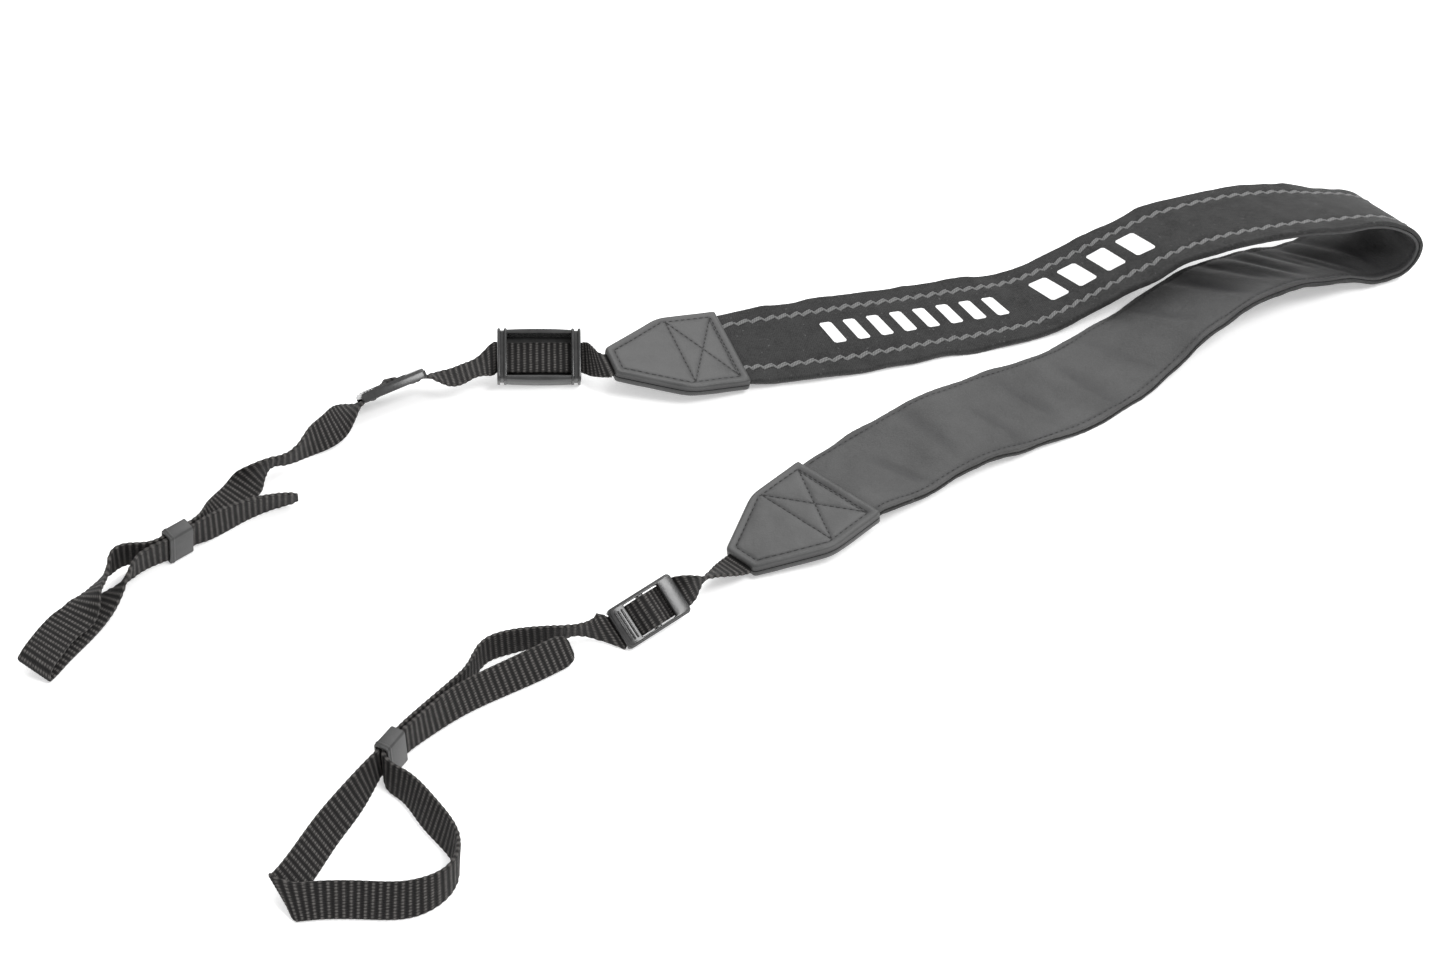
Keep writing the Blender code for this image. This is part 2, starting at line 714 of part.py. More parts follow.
def build():
    for obj in list(bpy.data.objects):
        bpy.data.objects.remove(obj, do_unlink=True)
    mats = {
        "face": material("black_face_cloth", (0.025, 0.025, 0.027), 0.95),
        "backing": material("grey_backing", (0.085, 0.085, 0.088), 0.75),
        "leather": material("tab_leather", (0.10, 0.10, 0.105), 0.6),
        "webbing": material("black_webbing", (0.03, 0.029, 0.028), 0.85),
        "plastic": material("black_plastic", (0.06, 0.06, 0.063), 0.35),
        "keeper": material("keeper_plastic", (0.11, 0.11, 0.115), 0.5),
    }
    band_layers(mats)
    for tab in ("far_tab", "near_tab"):
        place = PLACES[tab]
        tab_leaf(tab + "_upper_leaf", place, place.front, mats["leather"])
        tab_leaf(tab + "_lower_leaf", place, -place.front, mats["leather"])
    far_webbing(mats["webbing"])
    near_webbing(mats["webbing"])
    eyepiece_cover(PLACES["cover"], mats["plastic"])
    slider("slider_far", PLACES["slider_far"], mats["plastic"])
    slider("slider_near", PLACES["slider_near"], mats["plastic"])
    keeper("keeper_far", PLACES["keeper_far"], mats["keeper"])
    keeper("keeper_near", PLACES["keeper_near"], mats["keeper"])


build()
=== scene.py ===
import math

import bmesh
import bpy
import numpy as np
from mathutils import Matrix


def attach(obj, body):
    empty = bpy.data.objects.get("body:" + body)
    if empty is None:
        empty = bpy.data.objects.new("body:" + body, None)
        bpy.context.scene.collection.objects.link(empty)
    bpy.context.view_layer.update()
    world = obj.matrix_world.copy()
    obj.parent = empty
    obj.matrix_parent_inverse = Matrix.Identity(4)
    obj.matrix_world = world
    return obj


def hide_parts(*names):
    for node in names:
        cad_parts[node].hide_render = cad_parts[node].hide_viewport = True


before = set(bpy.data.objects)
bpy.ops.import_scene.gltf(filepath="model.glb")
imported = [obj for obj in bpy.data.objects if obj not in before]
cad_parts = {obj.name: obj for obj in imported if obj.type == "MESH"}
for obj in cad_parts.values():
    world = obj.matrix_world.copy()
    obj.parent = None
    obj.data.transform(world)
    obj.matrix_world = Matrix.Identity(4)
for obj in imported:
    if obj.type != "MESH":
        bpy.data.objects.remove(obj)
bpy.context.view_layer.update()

scene = bpy.context.scene
MM = 0.001
SHIFT = np.array((-19.328, 20.922, 0.03))

# ---- sizes shared with the CAD model
BAND_WIDTH = 37.5
BACKING_WIDTH = 36.6
# thickness inside the tabs and outside them
FACE_THICKNESS = (0.9, 1.5)
BACKING_THICKNESS = (0.75, 1.1)
LAYER_GAP = 0.3
BAND_INSERT = 21.0
SWELL_LENGTH = 5.0

TAB_WIDTH = 39.5
TAB_LENGTH = 46.5
TAB_STRAIGHT = 22.5
TAB_TIP_WIDTH = 13.4
LEAF_TOP = 2.5
LEAF_POCKET = 1.25
LEAF_RIM = 0.35
LEAF_RIM_SLOPE = 0.5

WEBBING_WIDTH = 11.2
WEBBING_THICKNESS = 1.35
TAIL_ROUND = 5.0
TAIL_END_SHARE = 0.45
WIDEST_SLANT = 0.85

SLIDER_LENGTH = 24.6
SLIDER_WIDTH = 14.6
SLIDER_DEPTH = 3.5
SLIDER_WINDOW = 13.4
SLIDER_RAIL = 1.3
SLIDER_BAR_HALF = 1.2
WEAVE_BACK = -1.35
WEAVE_HUMP = 1.95
WEAVE_OUT = -1.6
END_BAR_BACK = -0.3
CENTRE_BAR_FRONT = 0.9

KEEPER_LENGTH = 9.0
KEEPER_WALL = 0.85
STRAND_OFFSET = 0.85
STRAND_CLEARANCE = 0.28

COVER_LENGTH = 29.7
COVER_WIDTH = 19.8
COVER_BAR_WIDTH = 18.6
COVER_FLANGE = 3.4
COVER_WINDOW_WIDTH = 15.6
COVER_FRONT = 5.0
BAR_FRONT = 4.2
COVER_BACK = 2.8
SLOT_HALF = 1.5
SLOT_WIDTH = 12.2

# ---- where the rigid pieces lie
PIECE_PLACES = {
    # x, y, z, heading, pitch, roll and which way its normal is seen
    "far_tab": (3.5, 64.5, 5.6, 200, 7.5, 177, -1),
    "near_tab": (39.4, -12.5, 7.2, 223.5, -4, 184, -1),
    "eyepiece_cover": (-65.4, 56.4, 8.6, 184, 3.5, 147, -1),
    "slider_far": (-116.7, 41.5, 7.9, 207, -7, 220, -1),
    "slider_near": (-23.6, -70.2, 7.3, 216.5, -7.7, -37.3, 1),
    "keeper_far": (-179.7, -37.4, 7.2, 223, 0, 78, -1),
    "keeper_near": (-100.5, -130.5, 6.9, 240, 0, 270, 1),
}

# ---- free knots: x, y, z, then azimuth and tilt of the direction across the strip
BAND_RUN = [
    # the far run, face up
    (26, 69, 5.5, 109, 7), (50, 75.4, 4.8, 108, 9), (74, 82.8, 3.7, 108, 6),
    (98, 89.8, 3, 108, 4), (112, 94.6, 3.2, 109, 2), (130, 101.6, 7.8, 107, 0),
    (153, 109, 17.4, 106, -1), (176, 115.6, 23.4, 104, -3), (203, 120.4, 25.6, 104, -6),
    # the curl
    (222, 124, 24.4, 104, -11), (238, 127.5, 21.9, 105, -15), (248, 130, 16.8, 108, -16),
    (251.8, 130.6, 10.8, 112, -13), (248.6, 129.2, 4.9, 116, -7), (239, 125.8, 2.9, 120, -2),
    # the near run, backing up
    (219, 114.6, 6, 123, -12), (198, 103.4, 11.4, 124, -14), (177, 89.5, 11.8, 125, -12),
    (158, 74.5, 7.8, 126, -8), (139, 58.7, 3.8, 128, 3), (120, 43.2, 4, 127, 7),
    (99, 29.6, 6.6, 125, 10), (78, 16.4, 9.2, 127, 4), (58, 2.4, 6.9, 131, 4),
]
FAR_COVER_RUN = [(-46.2, 53.6, 9.6, 100, 24)]
FAR_SLIDER_RUN = [(-85, 52.6, 8.5, 100, 0), (-90, 49.6, 8, 103, -10), (-96.5, 46.1, 7.8, 105, -9)]
FAR_TWIST_RUN = [
    (-131, 29.6, 5.6, 120, -10), (-135.8, 20, 6.4, 127, 42), (-141, 13.2, 7, 150, 80),
    (-144.8, 8.2, 6.6, -78, 70), (-149.5, 4.5, 6.2, -71, 58), (-154, 2.6, 6.4, -71, 56),
    (-158.2, -2.2, 6, -125, 66), (-162.8, -9.4, 4.7, 155, 22), (-167.8, -19.6, 4.9, 151, 38),
    (-172.5, -28.6, 6.2, 152, 87),
]
FAR_LOOP = [
    (-188.2, -42.8, 7.4, -46, 77), (-195.3, -44.8, 8.3, -48, 79), (-199.2, -48.2, 8.1, -60, 77),
    (-201.2, -53.5, 6.5, -47, 52), (-203.6, -62.2, 7.4, -34, 34), (-206.4, -70.4, 6, -15, -22),
    (-210.2, -76.6, 6.3, -19, -24), (-213.8, -86.2, 7, -20, -28),
    # the closed end
    (-215.6, -92, 6.8, -21, -30), (-216.3, -93.4, 4.7, -21, -30), (-215.4, -91.5, 3.2, -22, -27),
    (-212.3, -85.2, 3, -24, -22), (-206.3, -73.6, 2.5, -25, -16), (-199.6, -62, 3.3, -36, 14),
    (-193.9, -53.2, 6, -52, 58), (-189.5, -46.6, 7.1, -68, 74),
]
FAR_TAIL = [
    (-170.4, -30.8, 7.2, -30, 86), (-160.9, -22.2, 6.3, -62, 79), (-151.6, -16.5, 5.6, -68, 67),
    (-143, -13.8, 5.3, -74, 57),
]
NEAR_TWIST_RUN = [
    (-2.2, -51.8, 6.6, 107, -34), (-5.8, -55, 7, 98, -48), (-8.8, -57.9, 7.5, 70, -68),
    (-11.4, -60, 7.6, -10, -66), (-14, -61.4, 7.1, -40, -47),
]
NEAR_CURL_RUN = [
    (-36.8, -77.3, 6, -33, -56), (-39.9, -77.4, 6.2, 25, -76), (-45.8, -77.6, 6.3, 95, -62),
    (-55.4, -79.7, 6.1, 97, -74), (-63.2, -81.6, 6.2, 88, -83), (-69.2, -83.4, 6.1, 90, -87),
    (-74.2, -86.1, 6.1, 90, -86), (-77.2, -90.5, 6, 95, -84), (-79.8, -97.2, 5.9, 131, -83),
    (-84.6, -104.7, 5.9, 146, -84), (-91.8, -114.6, 5.9, 151, -88),
]
NEAR_LOOP = [
    (-110.6, -149, 6.8, -20, -63), (-116.9, -160, 5.5, -27, -54), (-122.5, -172.6, 5, -28, -48),
    (-126.2, -179.6, 4.7, -34, -46),
    (-127.4, -182.2, 4.7, -42, -43), (-126.3, -184.6, 4.6, -56, -42),
    (-122.6, -185.9, 4.6, -70, -42), (-116.6, -185.4, 4.6, -82, -43),
    (-104, -185.2, 4.5, -91, -44), (-92.4, -185.6, 4.9, -93, -52), (-84.6, -183.6, 5.6, -93, -68),
    (-79.2, -179, 6, -99, -80),
    (-77.2, -171.4, 6.1, -122, -80), (-80.3, -162.9, 5.9, -138, -70),
    (-87.4, -153.2, 5.9, -135, -63), (-95, -143.4, 5.9, -131, -73),
    (-100.9, -138.2, 5.9, -114, -80),
]
NEAR_TAIL = [
    (-91.9, -119.2, 6.3, -28, -86), (-82.4, -109.1, 6.2, -37, -73), (-70, -99.5, 5.6, -45, -65),
    (-59.5, -92.8, 5.7, -46, -60), (-48, -84.6, 5.6, -44, -62),
]

# ---- knots inside a rigid piece: distance along it and offset towards one of its sides
TAB_BAND_KNOTS = [(u, 0.0) for u in (21.0, 10.0, -1.4)]
NEAR_TAB_BAND_KNOTS = [(u, 0.0) for u in (21.0, 10.0, 0.0, -3.0)]
TAB_WEBBING_KNOTS = [(u, 0.0) for u in (36.0, 42.0, 46.6, 48.0)]
COVER_KNOTS = [(u, 0.0) for u in (-15.4, -13.0, 0.0, 13.0, 15.2)]
SLIDER_KNOTS = [(-9.5, WEAVE_BACK), (-6.8, WEAVE_BACK), (-1.3, WEAVE_HUMP), (1.3, WEAVE_HUMP),
                (6.8, WEAVE_BACK), (9.5, WEAVE_BACK), (12.5, WEAVE_OUT)]
FAR_SLIDER_ENTRY = [(-12.4, WEAVE_OUT)]
KEEPER_KNOTS = [(u, STRAND_OFFSET) for u in (-6.2, -2.0, 2.0, 4.4)]


# ---- small vector helpers
def direction(azimuth, tilt):
    a = math.radians(azimuth)
    t = math.radians(tilt)
    return np.array((math.cos(a) * math.cos(t), math.sin(a) * math.cos(t), math.sin(t)))


def unit(vectors):
    return vectors / np.linalg.norm(vectors, axis=-1)[..., None]


class Place:
    """The frame of a rigid piece: centre, along, across and the seen side's normal."""

    def __init__(self, row):
        x, y, z, heading, pitch, roll, self.front = row
        self.centre = np.array((x, y, z))
        self.along = direction(heading, pitch)
        left = direction(heading + 90.0, 0.0)
        upward = np.cross(self.along, left)
        r = math.radians(roll)
        self.across = math.cos(r) * left + math.sin(r) * upward
        self.normal = np.cross(self.along, self.across)

    def points(self, u, v, w):
        """Points at u along, v across and w towards the seen side."""
        u, v, w = np.broadcast_arrays(u, v, w)
        return (self.centre + u[..., None] * self.along + v[..., None] * self.across
                + w[..., None] * self.normal * self.front)


PLACES = {name: Place(row) for name, row in PIECE_PLACES.items()}


def free(rows):
    return [(np.array((x, y, z)), direction(azimuth, tilt)) for x, y, z, azimuth, tilt in rows]


def guided(name, rows, side=None, backwards=False):
    """Knots of a strip inside a rigid piece, on its seen side or on the given side."""
    place = PLACES[name]
    side = place.front if side is None else side
    return [(place.centre + u * place.along + w * side * place.normal, place.across)
            for u, w in (rows[::-1] if backwards else rows)]


def spline(parameters, values, where):
    """A natural cubic spline through the values, one column per coordinate, read at where."""
    count = len(parameters)
    gaps = np.diff(parameters)[:, None]
    slopes = np.diff(values, axis=0) / gaps
    matrix = np.eye(count)
    right = np.zeros_like(values)
    for i in range(1, count - 1):
        before, after = gaps[i - 1:i + 1, 0]
        matrix[i, i - 1:i + 2] = before, 2.0 * (before + after), after
        right[i] = 6.0 * (slopes[i] - slopes[i - 1])
    bends = np.linalg.solve(matrix, right)
    index = np.clip(np.searchsorted(parameters, where) - 1, 0, count - 2)
    gap = gaps[index]
    a = (parameters[index + 1] - where)[:, None] / gap
    b = 1.0 - a
    bend = (a ** 3 - a) * bends[index] + (b ** 3 - b) * bends[index + 1]
    return a * values[index] + b * values[index + 1] + bend * gap ** 2 / 6.0


class Path:
    """A smooth path through knots, sampled evenly by length. With squareness 1 the direction
    across is turned square to it; with 0 the strip is widened where it lies slanted."""

    SAMPLE = 0.25
    CURVE_SAMPLES = 6000

    def __init__(self, knots, squareness):
        points, across = (np.array(column) for column in zip(*knots))
        gaps = np.linalg.norm(np.diff(points, axis=0), axis=1)
        parameters = np.concatenate([[0.0], np.cumsum(np.sqrt(gaps))])
        fine = np.linspace(0.0, parameters[-1], self.CURVE_SAMPLES)
        curve = spline(parameters, points, fine)
        steps = np.linalg.norm(np.diff(curve, axis=0), axis=1)
        length = np.concatenate([[0.0], np.cumsum(steps)])
        self.length = float(length[-1])
        self.s = np.linspace(0.0, self.length, int(self.length / self.SAMPLE) + 1)

        def even(field):
            return np.stack([np.interp(self.s, length, column) for column in field.T], axis=1)

        self.points = even(curve)
        tangent = unit(np.gradient(self.points, axis=0))
        sides = unit(even(spline(parameters, across, fine)))
        sides -= squareness * np.sum(sides * tangent, axis=1)[:, None] * tangent
        self.across = unit(sides)
        normal = np.cross(tangent, self.across)
        slant = np.linalg.norm(normal, axis=1)[:, None]
        self.normal = normal / slant
        self.widening = 1.0 / np.maximum(slant, WIDEST_SLANT)

    def at(self, s, v, w):
        """Points at length s, v across and w along the normal."""
        s, v, w = np.broadcast_arrays(s, v, w)
        where = np.clip(s / self.s[1], 0.0, len(self.s) - 1.001)
        index = where.astype(int)
        part = (where - index)[..., None]

        def mixed(field):
            return field[index] * (1.0 - part) + field[index + 1] * part

        across = mixed(self.across) * mixed(self.widening)
        return mixed(self.points) + v[..., None] * across + w[..., None] * mixed(self.normal)


def smooth_step(low, high, x):
    t = np.clip((x - low) / (high - low), 0, 1)
    return t * t * (3.0 - 2.0 * t)


def bell(x, width, height=1.0):
    return height * np.exp(-(x / width) ** 2)


def rounding(distance, radius):
    """How far a rounded edge lies below its flat, at this distance inside the edge."""
    d = np.clip(distance, 0.0, radius)
    return radius - np.sqrt(radius ** 2 - (radius - d) ** 2)


def stacked(*fields):
    """Several fields as one, such as u and v as the UV of every point."""
    return np.stack(np.broadcast_arrays(*fields), axis=-1)


def beside(*columns):
    return np.concatenate(columns, axis=1)


def waves(x, seed, wavelengths):
    """A smooth made-up wobble between about -1 and 1."""
    rng = np.random.default_rng(seed)
    return sum(np.sin(2 * math.pi * (x / length + rng.random()))
               for length in wavelengths) / len(wavelengths)


# ---- meshes
def make_object(name, points, faces, look, uv=None, painted_shading=None, sharp=60.0):
    """A named object from points in millimetres, with a UV map and a value of painted light and
    shade.
    """
    mesh = bpy.data.meshes.new(name)
    mesh.from_pydata(((points.reshape(-1, 3) + SHIFT) * MM).tolist(), [], faces)
    if uv is not None:
        layer = mesh.uv_layers.new(name="strip")
        corner = np.empty(len(mesh.loops), dtype=np.int32)
        mesh.loops.foreach_get("vertex_index", corner)
        layer.data.foreach_set("uv", uv.reshape(-1, 2)[corner].astype(np.float32).ravel())
    if painted_shading is not None:
        attribute = mesh.attributes.new("painted_shading", "FLOAT", "POINT")
        attribute.data.foreach_set("value", painted_shading.astype(np.float32).ravel())
    bm = bmesh.new()
    bm.from_mesh(mesh)
    bmesh.ops.recalc_face_normals(bm, faces=bm.faces[:])
    bm.to_mesh(mesh)
    bm.free()
    mesh.polygons.foreach_set("use_smooth", np.ones(len(mesh.polygons), dtype=bool))
    mesh.set_sharp_from_angle(angle=math.radians(sharp))
    mesh.materials.append(LOOKS[look])
    obj = bpy.data.objects.new(name, mesh)
    scene.collection.objects.link(obj)
    return obj


def ring_faces(sections, ring, closed=False):
    """Quads between equal rings; closed joins the last to the first, else both are capped."""
    index = np.arange(sections * ring).reshape(sections, ring)
    before = index if closed else index[:-1]
    after = np.roll(index, -1, axis=0) if closed else index[1:]
    quads = np.stack([before, np.roll(before, -1, 1), np.roll(after, -1, 1), after], axis=-1)
    caps = [] if closed else [index[0][::-1].tolist(), index[-1].tolist()]
    return quads.reshape(-1, 4).tolist() + caps


def slab_faces(rows, columns):
    """Faces of a closed slab: a top grid, then a bottom grid of the same size."""
    top = np.arange(rows * columns).reshape(rows, columns)
    grid = np.stack([top[:-1, :-1], top[:-1, 1:], top[1:, 1:], top[1:, :-1]],
                    axis=-1).reshape(-1, 4)
    border = np.concatenate([top[0, :-1], top[:-1, -1], top[-1, :0:-1], top[:0:-1, 0]])
    after = np.roll(border, -1)
    below = rows * columns
    walls = np.stack([border, border + below, after + below, after], axis=-1)
    return grid.tolist() + (grid + below)[:, ::-1].tolist() + walls.tolist()


def joined(parts):
    """Points and faces of several (points, faces), whose indices each start at 0."""
    points = []
    faces = []
    used = 0
    for part, own_faces in parts:
        points.append(part.reshape(-1, 3))
        faces += [[used + i for i in face] for face in own_faces]
        used += len(points[-1])
    return np.concatenate(points), faces


def dress(obj, slot, *nodes):
    """What the piece rides on and the CAD nodes it stands for; slot, its finish, is not used."""
    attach(obj, "root")
    if nodes:
        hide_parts(*nodes)
    return obj


# ---- materials
class Nodes:
    """A short way to write node materials."""

    def __init__(self, name, roughness, specular, sheen=(0.0, 0.5)):
        self.mat = bpy.data.materials.new(name)
        self.mat.use_nodes = True
        self.tree = self.mat.node_tree
        self.shader = self.tree.nodes["Principled BSDF"]
        self.fix(Roughness=roughness, Specular_IOR_Level=specular,
                 Sheen_Weight=sheen[0], Sheen_Roughness=sheen[1])
        self.height = None

    def fix(self, **values):
        """Sets sockets of the shader itself; an underscore stands for a space."""
        for key, value in values.items():
            self.shader.inputs[key.replace("_", " ")].default_value = value

    def add(self, kind, links, settings=(), **values):
        """A node with its linked sockets, its set sockets and its own properties."""
        node = self.tree.nodes.new("ShaderNode" + kind)
        for key, value in values.items():
            setattr(node, key, value)
        for key, value in dict(settings).items():
            node.inputs[key].default_value = value
        for key, socket in links.items():
            self.tree.links.new(socket, node.inputs[key])
        return node

    def in_space(self):
        return self.add("TexCoord", {}).outputs["Object"]

    def on_strip(self):
        """The strip's own coordinates: millimetres across and along."""
        return self.add("UVMap", {}, uv_map="strip").outputs["UV"]

    # painted light and shade, stored on each point
    def painted_shading(self):
        return self.add("Attribute", {}, attribute_name="painted_shading").outputs["Fac"]

    def noise(self, where, scale, detail=3.0, roughness=0.55):
        settings = {"Scale": scale, "Detail": detail, "Roughness": roughness}
        return self.add("TexNoise", {"Vector": where}, settings).outputs["Fac"]

    def cells(self, where, scale, smoothness):
        settings = {"Scale": scale, "Smoothness": smoothness}
        node = self.add("TexVoronoi", {"Vector": where}, settings, feature="SMOOTH_F1")
        return node.outputs["Distance"]

    def bands(self, where, period, axis, distortion=0.0):
        """Sine bands of that period, in the coordinates' own unit."""
        settings = {"Scale": math.pi / 10.0 / period, "Distortion": distortion}
        node = self.add("TexWave", {"Vector": where}, settings, bands_direction=axis)
        return node.outputs["Fac"]

    def maths(self, first, second, kind="MULTIPLY"):
        return self.add("Math", {0: first, 1: second}, operation=kind).outputs[0]

    def spread(self, value, low, high, from_low=0.0, from_high=1.0):
        settings = {"From Min": from_low, "From Max": from_high, "To Min": low, "To Max": high}
        return self.add("MapRange", {"Value": value}, settings).outputs["Result"]

    def ramp(self, value, *stops):
        """Colours by value: stops are (position, grey or rgb)."""
        node = self.add("ValToRGB", {"Fac": value})
        elements = node.color_ramp.elements
        while len(elements) < len(stops):
            elements.new(0.5)
        for element, (position, colour) in zip(elements, stops):
            element.position = position
            rgb = colour if isinstance(colour, tuple) else (colour,) * 3
            element.color = (*rgb, 1.0)
        return node.outputs["Color"]

    def mix(self, factor, first, second):
        """From a colour socket to an rgb; the node's inputs 6 and 7 and output 2 are colours."""
        colours = {0: factor, 6: first}, {7: (*second, 1.0)}
        return self.add("Mix", *colours, data_type="RGBA").outputs[2]

    def colour(self, socket):
        self.tree.links.new(socket, self.shader.inputs["Base Color"])

    def rough(self, value, low, high):
        self.tree.links.new(self.spread(value, low, high), self.shader.inputs["Roughness"])

    def bump(self, value, depth):
        """Adds relief of that depth in metres on top of what is there."""
        links = {"Height": value}
        if self.height is not None:
            links["Normal"] = self.height
        node = self.add("Bump", links, {"Strength": 1.0, "Distance": depth})
        self.height = node.outputs["Normal"]
        self.tree.links.new(self.height, self.shader.inputs["Normal"])


# Spacing of the face cloth's threads along and across the band.
WEFT_PITCH = 0.62
WARP_PITCH = 0.55


def plain_weave(n, where, distortion):
    return n.maths(n.bands(where, WEFT_PITCH, "Y", distortion),
                   n.bands(where, WARP_PITCH, "X", distortion), "MAXIMUM")


def face_cloth():
    """Black closely woven cloth with a little lint."""
    n = Nodes("face_cloth", 0.9, 0.25, sheen=(0.1, 0.45))
    place = n.in_space()
    weave = plain_weave(n, n.on_strip(), 3.0)
    blotch = n.noise(place, 140, 5, 0.65)
    lint = n.noise(place, 1300, 3, 0.7)
    tone = n.ramp(n.maths(n.maths(blotch, weave), lint, "ADD"),
                  (0.35, 0.008), (0.75, 0.02), (1.0, 0.036))
    specks = n.spread(n.noise(place, 900, 1), 0.0, 1.0, 0.7, 0.78)
    n.colour(n.mix(n.maths(specks, lint), tone, (0.12, 0.12, 0.12)))
    n.bump(weave, 0.00008)
    n.bump(lint, 0.00022)
    return n.mat


def backing_sheet():
    """Grey soft plastic-coated backing with a fine grain, darker where the painted shade says so.
    """
    n = Nodes("backing_sheet", 0.6, 0.4, sheen=(0.04, 0.4))
    place = n.in_space()
    grain = n.noise(place, 1600, 4, 0.65)
    blotch = n.noise(place, 60, 4, 0.6)
    tone = n.ramp(n.maths(blotch, n.spread(grain, -0.25, 0.25), "ADD"),
                  (0.25, 0.034), (0.75, 0.066))
    n.colour(n.mix(n.painted_shading(), tone, (0.02, 0.02, 0.021)))
    n.rough(blotch, 0.52, 0.68)
    n.bump(grain, 0.00016)
    n.bump(blotch, 0.0008)
    return n.mat


def tab_leather():
    """Grey pressed leather with fine pores, with painted shade along the stitch grooves and on the
    inner side.
    """
    n = Nodes("tab_leather_look", 0.5, 0.35)
    place = n.in_space()
    pores = n.cells(place, 1700.0, 0.4)
    grain = n.noise(place, 2200, 3)
    blotch = n.noise(place, 70, 4, 0.6)
    tone = n.ramp(blotch, (0.3, 0.046), (0.7, 0.066))
    n.colour(n.mix(n.painted_shading(), tone, (0.014, 0.014, 0.015)))
    n.rough(blotch, 0.34, 0.52)
    n.bump(pores, 0.000022)
    n.bump(grain, 0.000022)
    n.bump(blotch, 0.0004)
    return n.mat


def ribbed_webbing():
    """Black webbing: painted light on the crests of its ribs and beads and painted shade in the
    grooves between them, and yarns are in the bump.
    """
    n = Nodes("ribbed_webbing", 0.75, 0.22, sheen=(0.03, 0.4))
    where = n.on_strip()
    yarn = n.bands(where, 0.52, "X", 1.5)
    fibre = n.noise(where, 4, 4, 0.65)
    uneven = n.noise(where, 0.7, 2)
    threads = n.maths(n.painted_shading(), n.spread(fibre, 0.5, 1.5))
    threads = n.maths(threads, n.spread(uneven, 0.45, 1.55))
    n.colour(n.ramp(n.maths(threads, n.spread(yarn, 0.0, 0.2), "ADD"),
                    (0.0, 0.003), (0.35, (0.0145, 0.0137, 0.0134)),
                    (0.7, (0.054, 0.051, 0.049)), (1.0, (0.11, 0.104, 0.1))))
    n.rough(n.noise(n.in_space(), 400, 2), 0.62, 0.85)
    n.bump(yarn, 0.00008)
    n.bump(fibre, 0.00014)
    return n.mat


def thread(name, low, high, roughness):
    """Sewing thread of twisted plies."""
    n = Nodes(name, roughness, 0.35, sheen=(0.1, 0.4))
    where = n.on_strip()
    ply = n.add("TexWave", {"Vector": where}, {"Scale": 0.6},
                bands_direction="DIAGONAL").outputs["Fac"]
    fibre = n.noise(where, 4, 3)
    n.colour(n.ramp(n.maths(ply, n.spread(fibre, 0.7, 1.2)), (0.0, low), (0.8, high)))
    n.bump(ply, 0.00008)
    n.bump(fibre, 0.00008)
    return n.mat


def moulded_plastic(name, low, high, rough_low, rough_high, specular):
    """Moulded plastic with a fine texture and faint rubbed patches."""
    n = Nodes(name, (rough_low + rough_high) / 2, specular)
    place = n.in_space()
    rub = n.noise(place, 220, 4, 0.6)
    specks = n.noise(place, 1100, 2)
    n.colour(n.ramp(n.maths(rub, n.spread(specks, 0.8, 1.2)), (0.3, low), (0.7, high)))
    n.rough(rub, rough_low, rough_high)
    n.bump(n.noise(place, 4200, 2), 0.00001)
    n.bump(specks, 0.000008)
    return n.mat


def print_ink():
    """White screen ink that lets the weave show through."""
    n = Nodes("print_ink", 0.55, 0.4)
    where = n.on_strip()
    n.colour(n.ramp(n.noise(where, 1.6, 4), (0.28, 0.62), (0.42, 0.86)))
    n.bump(plain_weave(n, where, 0.6), 0.0001)
    return n.mat


LOOKS = {
    "face": face_cloth(),
    "backing": backing_sheet(),
    "leather": tab_leather(),
    "webbing": ribbed_webbing(),
    "rope": thread("rope_thread", 0.105, 0.165, 0.7),
    "black_thread": thread("black_thread", 0.006, 0.022, 0.6),
    "plastic": moulded_plastic("gloss_plastic", 0.024, 0.036, 0.13, 0.3, 0.42),
    "keeper": moulded_plastic("matt_plastic", 0.036, 0.054, 0.26, 0.46, 0.3),
    "ink": print_ink(),
}

# ---- the band
ROPE_ROW = 12.0  # distance of the thick thread rows from the middle line
EDGE_ROW = 16.4  # and of the backing's small stitches
FLUTTER_HEIGHT = 0.85
EDGE_STRAY = 0.46
EDGE_FUZZ = 0.07
CROWN_HEIGHT = 0.16
RIPPLE_HEIGHT = 0.1
HEM_RIPPLE_HEIGHT = 0.16
ROPE_DENT = (1.3, 0.3)  # width and depth
EDGE_DENT = (0.55, 0.22)
GRAIN_HEIGHT = 0.05
BANK_SHARE = 0.45  # height of the low bank beside a crease
EDGE_PAINTED_SHADE = (0.42, 0.95)  # width and strength of the painted shade in the groove along the stitches
# strength of the painted shade in the creases
CREASE_PAINTED_SHADE = 0.75
# strength of the painted shade inside the curl, fading out along both runs
CURL_PAINTED_SHADE = 0.55
BAND_COLUMNS = 41

band = Path(guided("far_tab", TAB_BAND_KNOTS) + free(BAND_RUN)
            + guided("near_tab", NEAR_TAB_BAND_KNOTS, backwards=True), squareness=1.0)


def past_tabs(s):
    """Distance outside the tabs, negative inside them."""
    return np.minimum(s, band.length - s) - BAND_INSERT


def outside_tabs(s):
    """0 inside the tabs, 1 well outside them."""
    return smooth_step(1.0, 16.0, past_tabs(s))


def swell(s, pressed, full):
    return pressed + (full - pressed) * np.clip(past_tabs(s) / SWELL_LENGTH, 0, 1)


def flutter(s, v):
    """The whole band's slight waviness along its two edges."""
    far = waves(s, 11, (27, 41, 64))
    near = waves(s, 12, (24, 37, 71))
    share = v / (BAND_WIDTH / 2)
    lift = far * np.clip(share, 0, None) ** 3 + near * np.clip(-share, 0, None) ** 3
    return FLUTTER_HEIGHT * lift * outside_tabs(s)


